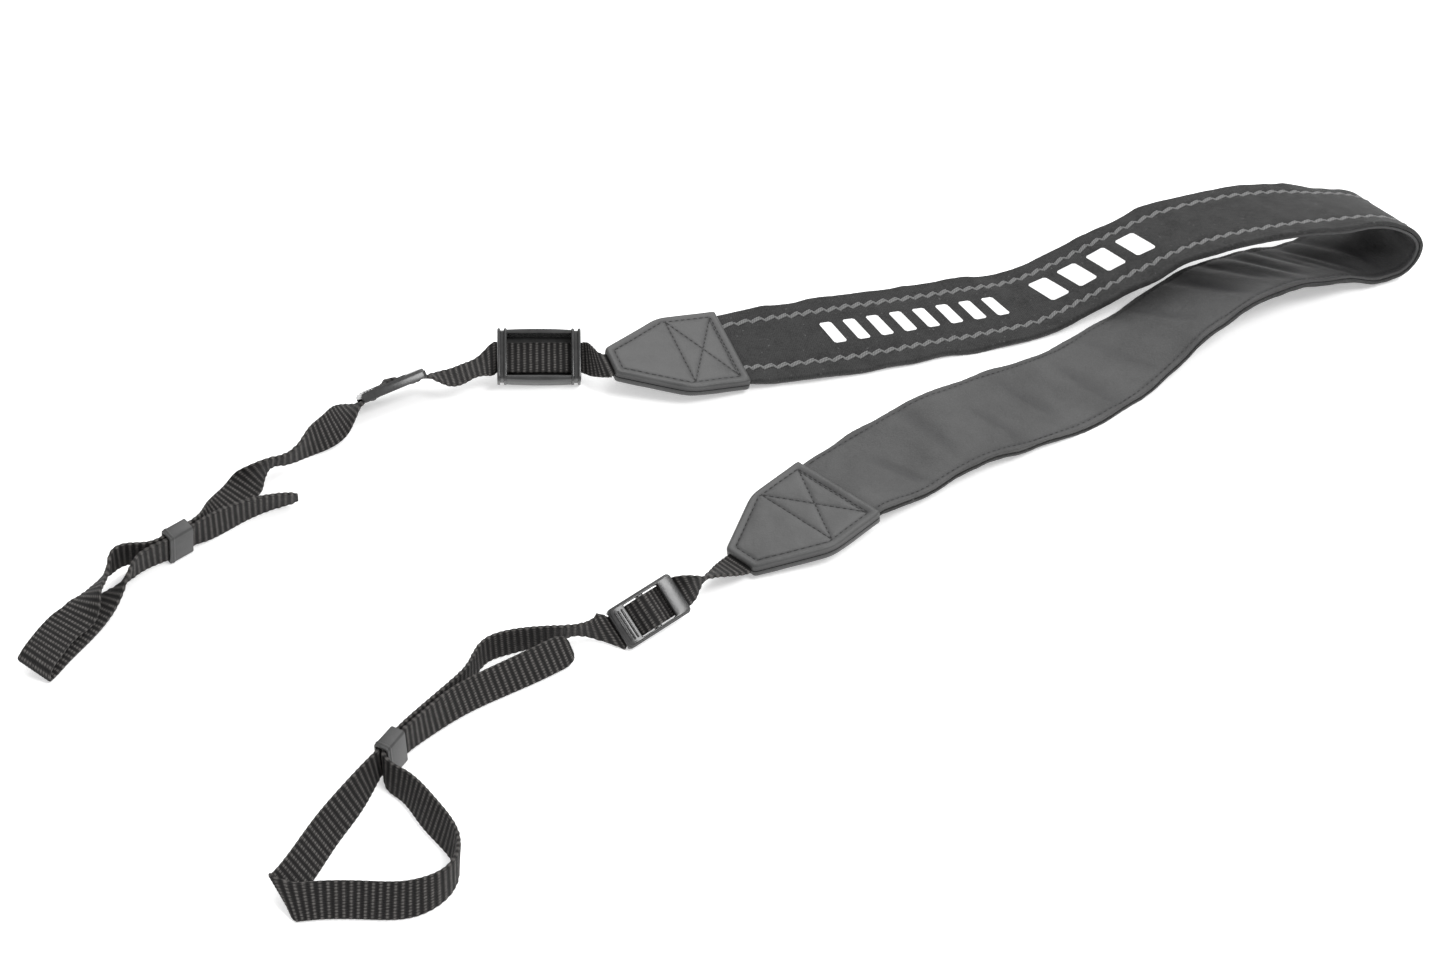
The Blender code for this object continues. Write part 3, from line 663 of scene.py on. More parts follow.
def edge_wave(s, side):
    """How far an edge of the band strays sideways."""
    slow = waves(s, 21 + side, (19, 31, 47))
    fine = waves(s, 31 + side, (2.3, 3.7, 6.1))
    return (EDGE_STRAY * slow + EDGE_FUZZ * fine) * outside_tabs(s)


def rows_dent(v, row, width, depth):
    """The dent along both rows of stitches at that distance from the middle line."""
    return bell(np.abs(v) - row, width, depth)


def face_height(s, v):
    """Distance of the face's outer side from the middle surface."""
    top = LAYER_GAP / 2 + swell(s, *FACE_THICKNESS)
    from_middle = np.clip(np.abs(v) / ROPE_ROW, 0, 1)
    crown = CROWN_HEIGHT * np.cos(math.pi / 2 * from_middle) ** 2
    ripple = RIPPLE_HEIGHT * waves(s + 0.7 * v, 5, (9, 14, 23))
    relief = crown - rows_dent(v, ROPE_ROW, *ROPE_DENT) + ripple
    on_hem = np.clip((np.abs(v) - ROPE_ROW - 1.0) / 4.0, 0, 1)
    hem = HEM_RIPPLE_HEIGHT * on_hem * waves(s + 0.5 * v, 7, (8, 12, 19))
    return top + outside_tabs(s) * (relief + hem) + flutter(s, v)


crease_draws = np.random.default_rng(8).uniform
CREASES = [
    # position, slant, depth, width, middle across and reach across
    (36.0 + 22.5 * k + crease_draws(-5, 5), crease_draws(0.15, 0.55), crease_draws(0.35, 0.7),
     crease_draws(2.0, 3.6), crease_draws(-5, 5), crease_draws(9, 15))
    for k in range(23)
] + [
    # the fan of folds that runs out of the curl
    (308.0 + 13.0 * k, 0.62 - 0.06 * k, 0.8, 2.9, crease_draws(-2, 7), 13.0)
    for k in range(6)
]


def creases(s, v):
    """Soft slanted creases: positive is a valley, with a low bank beside it."""
    total = np.zeros(np.broadcast(s, v).shape)
    for at, slant, depth, width, middle, reach in CREASES:
        distance = (s - at - slant * v) / width
        bank = BANK_SHARE * np.exp(-(distance - 1.9) ** 2 / 1.6)
        total += depth * np.exp(-((v - middle) / reach) ** 4) * (bell(distance, 1.0) - bank)
    return total


def backing_depth(s, v):
    """Distance of the backing's outer side from the middle surface."""
    deep = LAYER_GAP / 2 + swell(s, *BACKING_THICKNESS)
    relief = (creases(s, v) + rows_dent(v, EDGE_ROW, *EDGE_DENT)
              + GRAIN_HEIGHT * waves(s - 0.4 * v, 6, (3.1, 5.3, 8.7)))
    return deep - outside_tabs(s) * relief - flutter(s, v)


def backing_painted_shade(s, v):
    """Painted shade on the backing: in the groove along its stitches, in its creases, and into the
    curl where the band bends at the neck.
    """
    # painted shade: darkest inside the curl, fading out along both runs
    curl_shade = CURL_PAINTED_SHADE * smooth_step(130, 280, s) * (1 - smooth_step(300, 460, s))
    # painted shade along the stitch grooves and in the creases
    lines = rows_dent(v, EDGE_ROW, *EDGE_PAINTED_SHADE) + CREASE_PAINTED_SHADE * np.clip(creases(s, v), 0, 1)
    return np.clip(lines + curl_shade, 0, 1)


def band_layer(name, width, outer, side, step, radius, look):
    """One layer of the band: a relief on its outer side and a plain inner side."""
    half = width / 2
    s = np.minimum(np.arange(0.0, band.length + step / 2, step), band.length)[:, None]
    near_edge = half - np.array((0.0, 0.12, 0.3, 0.6, 1.0))
    middle = np.linspace(1.5 - half, half - 1.5, BAND_COLUMNS)
    columns = np.concatenate([-near_edge, middle, near_edge[::-1]])[None, :]
    share = columns / half
    stray = np.where(share > 0.0, edge_wave(s, 1), edge_wave(s, 0)) * share * np.abs(share)
    v = columns + stray
    w = outer(s, v) - rounding(half - np.abs(columns), radius)
    inner_v = v[:, ::4]
    inner_w = (LAYER_GAP / 2 + side * flutter(s, v))[:, ::4]
    lips = (w[:, [0, -1]] + inner_w[:, [0, -1]]) / 2
    ring_v = beside(v, v[:, -1:], inner_v[:, ::-1], v[:, :1])
    ring_w = side * beside(w, lips[:, 1:], inner_w[:, ::-1], lips[:, :1])
    round_edge = np.sign(ring_v) * np.clip(outer(s, ring_v) - np.abs(ring_w), 0.0, 3.0)
    painted_shading = np.zeros(ring_v.shape) if side > 0 else backing_painted_shade(s, ring_v)
    return make_object(name, band.at(s, ring_v, ring_w), ring_faces(*ring_v.shape), look,
                       stacked(ring_v + round_edge, s), painted_shading, sharp=50.0)


face = dress(band_layer("neck_face_cloth", BAND_WIDTH, face_height, 1, 1.2, 0.75, "face"),
             "black_face_cloth", "neck_band_face")
backing = dress(band_layer("neck_backing_sheet", BACKING_WIDTH, backing_depth, -1, 1.0, 0.5,
                           "backing"), "grey_backing", "neck_band_backing")

# ---- stitches
ROPE_PITCH = 4.85
ROPE_STROKE = 3.9
ROPE_RISE = 0.88
ROPE_PLY = np.array((-0.19, 0.36))  # from the middle of a stroke to each of its plies
ROPE_JITTER = 0.12
ROPE_THREAD = (0.95, 0.75)  # width and height
EDGE_PITCH = 2.3
EDGE_THREAD = (0.4, 0.34)
STITCH_SHARE = 0.86  # length of a small stitch, of its pitch
STITCH_STEPS = 6
ROPE_STEPS = 8


def tubes(name, centres, ups, widths, heights, look, ring):
    """Many short closed threads in one mesh: middle lines and unit ups (count, steps, 3), full
    sizes (steps,)."""
    count, steps, _ = centres.shape
    sides = unit(np.cross(ups, np.gradient(centres, axis=1)))
    angles = np.arange(ring) * 2 * math.pi / ring
    out = (widths[:, None] / 2 * np.cos(angles))[None, :, :, None] * sides[:, :, None, :]
    lift = (heights[:, None] / 2 * np.sin(angles))[None, :, :, None] * ups[:, :, None, :]
    one_tube = ring_faces(steps, ring)
    points, faces = joined([(tube, one_tube) for tube in centres[:, :, None, :] + out + lift])
    lengths = np.linalg.norm(np.diff(centres[0], axis=0), axis=1)
    along = np.concatenate([[0.0], np.cumsum(lengths)])
    start = 0.31 * np.arange(count)
    uv = stacked(angles / math.pi, (along + start[:, None])[:, :, None])
    return make_object(name, points, faces, look, uv)


def swelled(steps, ends, power=2.0):
    """A thread's thickness along it: 1 in the middle, ends at both ends."""
    t = np.linspace(-1, 1, steps)
    return ends + (1.0 - ends) * (1.0 - np.abs(t) ** power)


def arch(steps, ends, middle):
    """Height along a thread: ends at both ends, middle half way."""
    return ends + (middle - ends) * np.sin(math.pi * np.linspace(0, 1, steps))


def along_band(start, end, lift, side, surface):
    """Points and ups of threads lying on the band from start to end, both (count, 2) of s, v."""
    t = np.linspace(0, 1, len(lift))
    s = start[:, :1] * (1.0 - t) + end[:, :1] * t
    v = start[:, 1:] * (1.0 - t) + end[:, 1:] * t
    w = surface(s, v) + lift
    centres = band.at(s, v, side * w)
    return centres, band.at(s, v, side * (w + 1.0)) - centres


def rope_row(name, v):
    """The thick ornamental zigzag: fat two-ply strokes up, short thin ones back down."""
    s = np.arange(BAND_INSERT - 0.6, band.length - BAND_INSERT - 3.6, ROPE_PITCH)
    rng = np.random.default_rng(int(100 + v))
    jitter = rng.uniform(-ROPE_JITTER, ROPE_JITTER, (len(s), 4))
    low = stacked(s, v - ROPE_RISE) + jitter[:, :2]
    high = stacked(s + ROPE_STROKE, v + ROPE_RISE) + jitter[:, 2:]
    back = np.concatenate([low[1:], low[-1:] + (ROPE_PITCH, 0.0)])
    strokes = [
        # start, end, lift at the ends and in the middle
        (low - ROPE_PLY, high - ROPE_PLY, -0.02, 0.2),
        (low + ROPE_PLY, high + ROPE_PLY, -0.02, 0.2),
        (high + (-0.25, 0.05), back + (0.25, 0.0), -0.12, 0.08),
    ]
    runs = [along_band(start, end, arch(ROPE_STEPS, ends, middle), 1, face_height)
            for start, end, ends, middle in strokes]
    centres, ups = (np.concatenate(group) for group in zip(*runs))
    return tubes(name, centres, ups, ROPE_THREAD[0] * swelled(ROPE_STEPS, 0.62, 3.0),
                 ROPE_THREAD[1] * swelled(ROPE_STEPS, 0.55), "rope", 8)


def edge_row(name, v):
    """The plain run of small stitches along an edge of the backing."""
    s = np.arange(BAND_INSERT + 1.0, band.length - BAND_INSERT - 3.0, EDGE_PITCH)
    start = stacked(s, v)
    end = start + (EDGE_PITCH * STITCH_SHARE, 0.0)
    centres, ups = along_band(start, end, arch(STITCH_STEPS, -0.12, 0.06), -1, backing_depth)
    width, height = (size * swelled(STITCH_STEPS, 0.6) for size in EDGE_THREAD)
    return tubes(name, centres, ups, width, height, "black_thread", 6)


ropes = [dress(rope_row("rope_stitch_" + side, v), "grey_backing")
         for side, v in (("far", ROPE_ROW), ("near", -ROPE_ROW))]
edges = [dress(edge_row("backing_stitch_" + side, v), "black_face_cloth")
         for side, v in (("far", EDGE_ROW), ("near", -EDGE_ROW))]

# ---- the plain printed bars
PRINT_BARS = [
    # start along the band, count, length, pitch, half height, middle across
    (56, 8, 4.6, 9, 5.2, 0.6),
    (140, 4, 7.4, 12, 6.4, 0.9),
]
PRINT_SLANT = -0.32
PRINT_CORNER = 0.7
PRINT_RISE = 0.07
PRINT_THICKNESS = 0.12


def printed_bar(start, length, half_height, middle):
    """One slanted bar of ink with rounded corners, a thin slab on the face."""
    v = middle + half_height * np.linspace(-1, 1, 19)[None, :]
    inset = rounding(half_height - np.abs(v - middle), PRINT_CORNER)
    along = np.linspace(0, 1, 9)[:, None]
    s = start + inset + along * (length - 2.0 * inset) + PRINT_SLANT * (v - middle)
    v = v + 0.0 * s
    top = face_height(s, v) + PRINT_RISE
    points = np.stack([band.at(s, v, top), band.at(s, v, top - PRINT_THICKNESS)])
    return (points, slab_faces(*s.shape)), np.stack([stacked(v, s)] * 2)


bars, bar_uvs = zip(*[printed_bar(start + k * pitch, length, half_height, middle)
                      for start, count, length, pitch, half_height, middle in PRINT_BARS
                      for k in range(count)])
ink = dress(make_object("plain_print", *joined(bars), "ink", np.array(bar_uvs)),
            "black_face_cloth")

# ---- the webbings
RIB_PITCH = 2.15
RIB_SECTIONS = 5
BEADS_ACROSS = 11
BEAD_SAMPLES = 4
RIB_HEIGHT = 0.32
RIB_SINK = 0.24
BEAD_SHARE = 0.5
SELVAGE = 0.45  # width of the plain edge
SELVAGE_WAVE = 0.07
# painted light on the selvage, rising and falling with each rib
SELVAGE_PAINTED_LIGHT = 0.7
BEAD_PAINTED_LIGHT = 0.64  # share of a rib's painted light that only its beads have


def webbing(name, path, seed):
    """A woven strip: rounded ribs across it, each a row of beads, and a scalloped selvage."""
    step = RIB_PITCH / RIB_SECTIONS
    s = np.append(np.arange(0.0, path.length - step / 2, step), path.length)[:, None]
    phase = s / RIB_PITCH + 0.05 * waves(s, seed, (17, 29))
    rib = np.abs(np.sin(math.pi * phase)) ** 1.2
    t = np.clip(1.0 - (path.length - s) / TAIL_ROUND, 0, 1)
    share = TAIL_END_SHARE + (1.0 - TAIL_END_SHARE) * np.sqrt(1.0 - t * t)
    half = WEBBING_WIDTH / 2 * share - 0.06 + SELVAGE_WAVE * rib
    columns = np.linspace(-1, 1, BEADS_ACROSS * BEAD_SAMPLES + 1)[None, :]
    top_v = columns * (half - SELVAGE)
    turns = BEADS_ACROSS * (columns + 1.0) + np.mod(np.floor(phase), 2.0)
    bead = np.abs(np.sin(math.pi * turns / 2))
    base = WEBBING_THICKNESS / 2 - RIB_SINK
    top_w = base + RIB_HEIGHT * rib * (1.0 - BEAD_SHARE + BEAD_SHARE * bead)
    edge = base + RIB_HEIGHT * rib * 0.75
    side_v = beside(half - 0.14, half, half, half - 0.14)
    side_w = edge * (0.8, 0.35, -0.35, -0.8)
    ring_v = beside(top_v, side_v, top_v[:, ::-1], -side_v)
    ring_w = beside(top_w, side_w, -top_w[:, ::-1], -side_w)
    # painted light and shade: rib and bead crests light, the grooves between them dark
    top_painted_light = rib ** 2.5 * (1.0 - BEAD_PAINTED_LIGHT + BEAD_PAINTED_LIGHT * bead)
    side_painted_light = np.repeat(SELVAGE_PAINTED_LIGHT * rib, 4, axis=1)
    painted_shading = beside(top_painted_light, side_painted_light, top_painted_light[:, ::-1], side_painted_light)
    return make_object(name, path.at(s, ring_v, ring_w), ring_faces(*ring_v.shape), "webbing",
                       stacked(ring_v, s), painted_shading, sharp=75.0)


far_path = Path(guided("far_tab", TAB_WEBBING_KNOTS) + free(FAR_COVER_RUN)
                + guided("eyepiece_cover", COVER_KNOTS) + free(FAR_SLIDER_RUN)
                + guided("slider_far", FAR_SLIDER_ENTRY + SLIDER_KNOTS) + free(FAR_TWIST_RUN)
                + guided("keeper_far", KEEPER_KNOTS, side=1) + free(FAR_LOOP)
                + guided("keeper_far", KEEPER_KNOTS, side=-1, backwards=True)
                + free(FAR_TAIL), squareness=0.0)
near_path = Path(guided("near_tab", TAB_WEBBING_KNOTS) + free(NEAR_TWIST_RUN)
                 + guided("slider_near", SLIDER_KNOTS) + free(NEAR_CURL_RUN)
                 + guided("keeper_near", KEEPER_KNOTS, side=-1) + free(NEAR_LOOP)
                 + guided("keeper_near", KEEPER_KNOTS, side=1, backwards=True)
                 + free(NEAR_TAIL), squareness=0.0)
far_strip = dress(webbing("far_ribbed_webbing", far_path, 41), "black_webbing", "far_webbing")
near_strip = dress(webbing("near_ribbed_webbing", near_path, 42), "black_webbing", "near_webbing")

# ---- the tabs
TAB_SLOPE = (TAB_WIDTH - TAB_TIP_WIDTH) / 2 / (TAB_LENGTH - TAB_STRAIGHT)
TAB_CORNER_ROUND = 1.4
SHOULDER_BEND = 1.6
TAB_EDGE_ROUND = 1.0
TAB_STITCH_PITCH = 2.4
TAB_THREAD = (0.54, 0.38)  # width and height
STITCH_PAINTED_SHADE = (0.36, 0.85)  # width and strength of the painted shade in the groove along the stitches
INSET = 3.0  # distance of the stitches from the leaf's edge
DOUBLE_ROW = 0.75  # gap between the two rows nearest the band
CROSS_LINE = 20.2
GROOVE = (0.45, 0.22)  # width and depth of the groove under the stitches
PULL = (1.8, 0.14)  # and of the leather pulled down beside it
RIM = (0.9, 0.1)  # width and height of the raised rim

SLANT_INSET = INSET * math.sqrt(1.0 + TAB_SLOPE ** 2)
SIDE_V = TAB_WIDTH / 2 - INSET
SHOULDER_U = TAB_STRAIGHT - (SLANT_INSET - INSET) / TAB_SLOPE
TIP_U = TAB_LENGTH - INSET
TIP_V = TAB_WIDTH / 2 - TAB_SLOPE * (TIP_U - TAB_STRAIGHT) - SLANT_INSET
STITCH_LINES = [
    # from u, from v, to u, to v
    (INSET, -SIDE_V, INSET, SIDE_V),
    (INSET + DOUBLE_ROW, -SIDE_V + 0.7, INSET + DOUBLE_ROW, SIDE_V - 0.7),
    (INSET, SIDE_V, SHOULDER_U, SIDE_V),
    (SHOULDER_U, SIDE_V, TIP_U, TIP_V),
    (TIP_U, TIP_V, TIP_U, -TIP_V),
    (TIP_U, -TIP_V, SHOULDER_U, -SIDE_V),
    (SHOULDER_U, -SIDE_V, INSET, -SIDE_V),
    (CROSS_LINE, -SIDE_V, CROSS_LINE, SIDE_V),
    (INSET, -SIDE_V, CROSS_LINE, SIDE_V),
    (INSET, SIDE_V, CROSS_LINE, -SIDE_V),
]


def tab_half_width(u):
    """Half the leaf's width: a soft shoulder, and rounded corners at both ends."""
    past_shoulder = (u - TAB_STRAIGHT) / SHOULDER_BEND
    narrowing = TAB_SLOPE * (SHOULDER_BEND * np.logaddexp(0.0, past_shoulder))
    corner = rounding(u, TAB_CORNER_ROUND) + 0.7 * rounding(TAB_LENGTH - u, TAB_CORNER_ROUND)
    return TAB_WIDTH / 2 - narrowing - corner


def stitch_distance(u, v):
    nearest = np.full(np.broadcast(u, v).shape, TAB_LENGTH)
    for u0, v0, u1, v1 in STITCH_LINES:
        du = u1 - u0
        dv = v1 - v0
        t = np.clip(((u - u0) * du + (v - v0) * dv) / (du * du + dv * dv), 0, 1)
        nearest = np.minimum(nearest, np.hypot(u - u0 - t * du, v - v0 - t * dv))
    return nearest


def leaf_top(u, v):
    """Height of a leaf's outer side, with the stitches pulled into it."""
    distance = stitch_distance(u, v)
    soft = waves(u + 0.6 * v, 3, (11, 17)) + waves(v - 0.3 * u, 4, (9, 15))
    edge = np.minimum(np.minimum(tab_half_width(u) - np.abs(v), u), TAB_LENGTH - u)
    return (LEAF_TOP - bell(distance, *GROOVE) - bell(distance, *PULL)
            + bell(edge - 1.3, *RIM) + 0.06 * soft - 0.04)


def tab_leaf(name, place, side):
    """One leather leaf: a slab with rounded edges and a pocket on its inner side."""
    fine = np.array((0.0, 0.1, 0.25, 0.5, 0.8, 1.4))
    stations = np.linspace(2.0, TAB_LENGTH - 2.0, 78)
    u = np.concatenate([fine, stations, (TAB_LENGTH - fine)[::-1]])[:, None]
    half = tab_half_width(u)
    from_edge = half - np.array((0.0, 0.08, 0.22, 0.45, 0.8))
    middle = np.linspace(-1, 1, 57)[None, :] * (half - 1.2)
    v = beside(-from_edge, middle, from_edge[:, ::-1])
    u = u + 0.0 * v
    from_side = half - np.abs(v)
    from_end = np.minimum(u, TAB_LENGTH - u)
    top = leaf_top(u, v) - np.maximum(rounding(from_side, TAB_EDGE_ROUND),
                                      rounding(from_end, TAB_EDGE_ROUND))
    pocket = smooth_step(LEAF_RIM, LEAF_RIM + LEAF_RIM_SLOPE, from_side)
    low = LAYER_GAP / 2 + (LEAF_POCKET - LAYER_GAP / 2) * pocket
    points = np.concatenate([place.points(u, v, side * top), place.points(u, v, side * low)])
    uv = np.concatenate([stacked(v, u)] * 2)
    # painted shade in the groove along the stitches
    stitch_groove_shade = bell(stitch_distance(u, v), *STITCH_PAINTED_SHADE)
    # painted shade: the inner side is dark, and with it the lower part of the leaf's edge
    painted_shading = np.concatenate([stitch_groove_shade, np.full(stitch_groove_shade.shape, 0.8)])
    return dress(make_object(name + "_leather", points, slab_faces(*u.shape), "leather", uv, painted_shading),
                 "tab_leather", name + "_leaf")


def tab_stitches(name, place, side):
    t = np.linspace(0, 1, STITCH_STEPS)
    centres = []
    for u0, v0, u1, v1 in STITCH_LINES:
        count = max(1, round(math.hypot(u1 - u0, v1 - v0) / TAB_STITCH_PITCH))
        for k in range(count):
            part = (k + (1.0 - STITCH_SHARE) / 2 + STITCH_SHARE * t) / count
            u = u0 + (u1 - u0) * part
            v = v0 + (v1 - v0) * part
            w = leaf_top(u, v) + arch(STITCH_STEPS, -0.1, 0.05)
            centres.append(place.points(u, v, side * w))
    centres = np.array(centres)
    ups = np.broadcast_to(place.normal * place.front * side, centres.shape)
    return dress(tubes(name + "_stitches", centres, ups, TAB_THREAD[0] * swelled(STITCH_STEPS, 0.7),
                       TAB_THREAD[1] * swelled(STITCH_STEPS, 0.5), "black_thread", 6),
                 "black_webbing")


leaves = [[make(tab + word, PLACES[tab], side) for make in (tab_leaf, tab_stitches)]
          for tab in ("far_tab", "near_tab") for word, side in (("_upper", 1), ("_lower", -1))]

# ---- moulded pieces
CORNER_STEPS = 5
SLIDER_CORNER = 1.5
WINDOW_CORNER = 0.55
STEP_TOP = 0.5  # rows of the slider below it follow the stepped underside
GRIP_SLOPE = 0.055  # how the slider's grip end falls away
GRIP_SLOPE_ABOVE = 1.4  # lower rings stay level
KEEPER_CORNER = 0.95
KEEPER_MOUTH_CORNER = 0.45
FLANGE_CORNER = 1.7
SLOT_CORNER = 0.5
TRAY_BULGE = 0.35
SHARP_PLASTIC = 38.0


def rounded_rectangle(a, b, radius):
    """Points round a rectangle of half sizes a and b, (points, 2)."""
    radius = min(radius, 0.98 * a, 0.98 * b)
    angles = np.linspace(0, math.pi / 2, CORNER_STEPS) + math.pi / 2 * np.arange(4)[:, None]
    centres = np.array([(1, 1), (-1, 1), (-1, -1), (1, -1)]) * (a - radius, b - radius)
    arcs = centres[:, None] + radius * stacked(np.cos(angles), np.sin(angles))
    return arcs.reshape(-1, 2)


def ring_at(u, a, b, radius, centre=0.0):
    """A rounded rectangle of half sizes a and b across a piece, at u along it."""
    v, w = rounded_rectangle(a, b, radius).T
    return stacked(u, v, w + centre)


def shells(name, parts, look, slot, node):
    """One piece of several shells: rings of u, v, w, and whether the last joins the first."""
    placed = [(PLACES[node].points(*np.moveaxis(part, -1, 0)), ring_faces(*part.shape[:2], closed))
              for part, closed in ((np.array(rings), closed) for rings, closed in parts)]
    dress(make_object(name, *joined(placed), look, sharp=SHARP_PLASTIC), slot, node)


def slider(end):
    """Slide buckle: a stepped frame, a hidden centre bar and grip ridges on one end bar."""
    a = SLIDER_LENGTH / 2
    b = SLIDER_WIDTH / 2
    top = SLIDER_DEPTH / 2
    inner_a = SLIDER_WINDOW / 2
    inner_b = b - SLIDER_RAIL
    # inset from the rim and height
    outer_rows = [(0.3, 0.0), (0.0, 0.28), (0.0, 0.55), (0.1, 0.8), (0.34, 0.92), (0.42, 1.05),
                  (0.48, 1.52), (0.62, 1.7), (0.8, top)]
    window_rows = [(0.34, top), (0.12, 1.68), (0.0, 1.45), (0.0, 0.25), (0.25, 0.0)]

    def ring(outline, height):
        if height < STEP_TOP:
            on_rail = np.abs(outline[:, 1]) > inner_b - 0.05
            w = np.where(on_rail, -top, END_BAR_BACK) + height
        else:
            slope = GRIP_SLOPE if height > GRIP_SLOPE_ABOVE else 0.0
            w = height - slope * np.clip(outline[:, 0] - inner_a, 0, None)
        return np.column_stack([outline, w])

    rings = [ring(rounded_rectangle(a - inset, b - inset, SLIDER_CORNER - inset * 0.6), height)
             for inset, height in outer_rows]
    rings += [ring(rounded_rectangle(inner_a + inset, inner_b + inset, WINDOW_CORNER), height)
              for inset, height in window_rows]
    bar = rounded_rectangle(SLIDER_BAR_HALF, (CENTRE_BAR_FRONT + top) / 2, 0.6)
    bar[:, 1] += (CENTRE_BAR_FRONT - top) / 2
    bar_end = inner_b + 0.3
    parts = [(rings, True),
             ([[(u, v, w) for u, w in bar] for v in (-bar_end, 0.0, bar_end)], False)]
    ridge = rounded_rectangle(0.34, 0.4, 0.3)
    ridge_rows = [(-5.3, -0.28), (-5.05, -0.08), (-4.6, 0.0),
                  (4.6, 0.0), (5.05, -0.08), (5.3, -0.28)]
    for u in (8.0, 9.2, 10.4):
        height = top - GRIP_SLOPE * (u - inner_a)
        parts.append(([stacked(ridge[:, 0] + u, v, ridge[:, 1] + height + drop)
                       for v, drop in ridge_rows], False))
    shells(f"slider_{end}_frame", parts, "plastic", "black_plastic", f"slider_{end}")


def keeper(end):
    """Keeper loop: a short tube with bevelled mouths and a low bead near one of them."""
    inner_v = WEBBING_WIDTH / 2 + STRAND_CLEARANCE
    inner_w = STRAND_OFFSET + WEBBING_THICKNESS / 2 + STRAND_CLEARANCE
    half = KEEPER_LENGTH / 2
    rows = [
        # outset from the wall's outer side, along
        (-0.3, -half), (-0.08, -half + 0.08), (0.0, -half + 0.3), (0.0, 2.75), (0.1, 2.86),
        (0.15, 3.05), (0.15, 3.35), (0.1, 3.54), (0.0, 3.65), (0.0, half - 0.3),
        (-0.08, half - 0.08), (-0.3, half),
    ]
    mouth_rows = [(0.22, half), (0.0, half - 0.25), (0.0, -half + 0.25), (0.22, -half)]
    rings = [ring_at(u, inner_v + KEEPER_WALL + outset, inner_w + KEEPER_WALL + outset,
                     KEEPER_CORNER) for outset, u in rows]
    rings += [ring_at(u, inner_v + outset, inner_w + outset, KEEPER_MOUTH_CORNER)
              for outset, u in mouth_rows]
    shells(f"keeper_{end}_loop", [(rings, True)], "keeper", "keeper_plastic", f"keeper_{end}")


def cover():
    """Eyepiece cover: an open tray between two grooved flanges, slotted for the webbing."""
    half_w = COVER_WIDTH / 2
    inner_l = COVER_LENGTH / 2 - COVER_FLANGE
    height = (COVER_FRONT + COVER_BACK) / 2
    centre = (COVER_FRONT - COVER_BACK) / 2
    # along the flange from its inner side, and outset of its rim or of its slot
    rim_rows = [(-0.05, -0.9), (0.0, -0.3), (0.18, -0.06), (0.48, 0.0), (0.8, -0.05),
                (1.02, -0.26), (1.12, -0.85), (2.22, -0.85), (2.32, -0.26), (2.54, -0.05),
                (2.88, 0.0), (3.18, -0.08), (3.34, -0.32), (3.4, -0.75)]
    slot_rows = [(3.4, 0.35), (3.2, 0.0), (0.15, 0.0), (-0.05, 0.2)]
    parts = []
    for end in (-1, 1):
        rings = [ring_at(end * (inner_l + along), half_w + outset, height + outset,
                         FLANGE_CORNER + outset, centre) for along, outset in rim_rows]
        rings += [ring_at(end * (inner_l + along), SLOT_WIDTH / 2 + outset,
                          SLOT_HALF + outset, SLOT_CORNER) for along, outset in slot_rows]
        parts.append((rings, True))

    outer = COVER_BAR_WIDTH / 2
    window = COVER_WINDOW_WIDTH / 2
    outside = [(0.45, -COVER_BACK), (0.12, -COVER_BACK + 0.12), (0.0, -COVER_BACK + 0.45),
               (0.0, BAR_FRONT - 0.5), (0.14, BAR_FRONT - 0.14), (0.5, BAR_FRONT)]
    inside = [(window + 0.42, BAR_FRONT), (window + 0.12, BAR_FRONT - 0.12),
              (window, BAR_FRONT - 0.45), (window, -SLOT_HALF + 0.4),
              (window - 0.4, -SLOT_HALF)]

    def section(u):
        bulge = TRAY_BULGE * (1.0 - (u / inner_l) ** 2)
        right = [(outer + bulge - inset, w) for inset, w in outside] + inside
        return [(u, v, w) for v, w in right] + [(u, -v, w) for v, w in right[::-1]]

    parts.append(([section(u) for u in np.linspace(-inner_l - 0.4, inner_l + 0.4, 23)], False))
    shells("cover_tray", parts, "plastic", "black_plastic", "eyepiece_cover")


cover()
for make in (slider, keeper):
    for end in ("far", "near"):
        make(end)


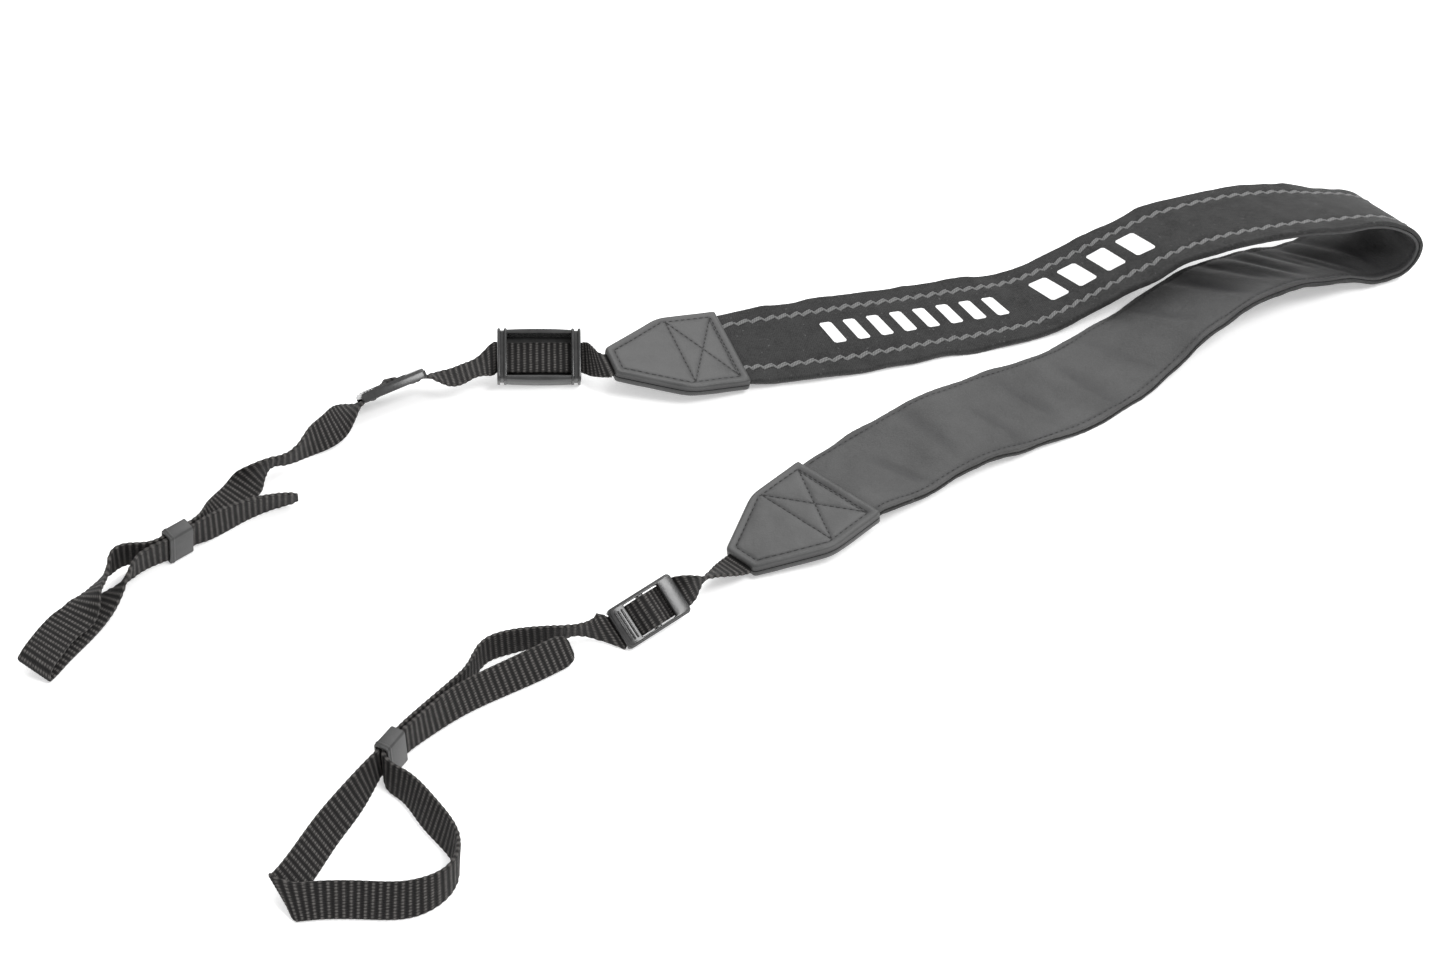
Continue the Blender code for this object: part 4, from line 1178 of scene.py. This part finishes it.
# ---- floor, light and camera, in metres
FLOOR_HALF = 6.0
LIGHTS = [
    # name, place, side of the square and power in watts; all point at the origin
    ("overhead", (0.35, 0.6, 1.2), 1.2, 11.0),
    ("front_left", (-0.9, -0.9, 0.9), 1.0, 1.5),
    ("behind", (0.0, 1.0, 0.85), 0.7, 2.4),
    ("front_right", (0.56, -0.44, 1.1), 0.42, 8.5),
]
WORLD_STRENGTH = 0.68
CAMERA_DROP = math.radians(42.0)
CAMERA_DISTANCE = 0.89
FOCAL_PIXELS = 2600.0
IMAGE_WIDTH = 1445.0
SENSOR = 36.0  # millimetres


def add_object(name, data, place=(0.0, 0.0, 0.0), target=None):
    """Puts an object into the scene, looking from place at target."""
    obj = bpy.data.objects.new(name, data)
    obj.location = place
    if target is not None:
        back = unit(np.array(obj.location) - np.array(target))
        right = unit(np.cross((0.0, 0.0, 1.0), back))
        turned = np.stack([right, np.cross(back, right), back], axis=1)
        obj.rotation_euler = Matrix(turned.tolist()).to_euler()
    scene.collection.objects.link(obj)
    return obj


paper = Nodes("pale_floor", 0.8, 0.2)
paper.fix(Base_Color=(0.93, 0.93, 0.93, 1.0), Emission_Color=(1.0, 1.0, 1.0, 1.0),
          Emission_Strength=0.36)
floor = bpy.data.meshes.new("floor")
corners = [(x * FLOOR_HALF, y * FLOOR_HALF, 0) for x, y in ((-1, -1), (1, -1), (1, 1), (-1, 1))]
floor.from_pydata(corners, [], [(0, 1, 2, 3)])
floor.materials.append(paper.mat)
add_object("floor", floor)
for name, place, size, power in LIGHTS:
    light = bpy.data.lights.new(name, "AREA")
    light.shape = "SQUARE"
    light.size = size
    light.energy = power
    add_object(name, light, place, (0.0, 0.0, 0.0))

lens = bpy.data.cameras.new("camera")
lens.sensor_width = SENSOR
lens.lens = FOCAL_PIXELS / IMAGE_WIDTH * SENSOR
towards_camera = np.array((0.0, -math.cos(CAMERA_DROP), math.sin(CAMERA_DROP)))
scene.camera = add_object("camera", lens, SHIFT * MM + CAMERA_DISTANCE * towards_camera,
                          SHIFT * MM)

world = bpy.data.worlds.new("studio")
world.use_nodes = True
background = world.node_tree.nodes["Background"]
background.inputs["Color"].default_value = (1.0, 1.0, 1.0, 1.0)
background.inputs["Strength"].default_value = WORLD_STRENGTH
scene.world = world
scene.view_settings.view_transform = "Standard"
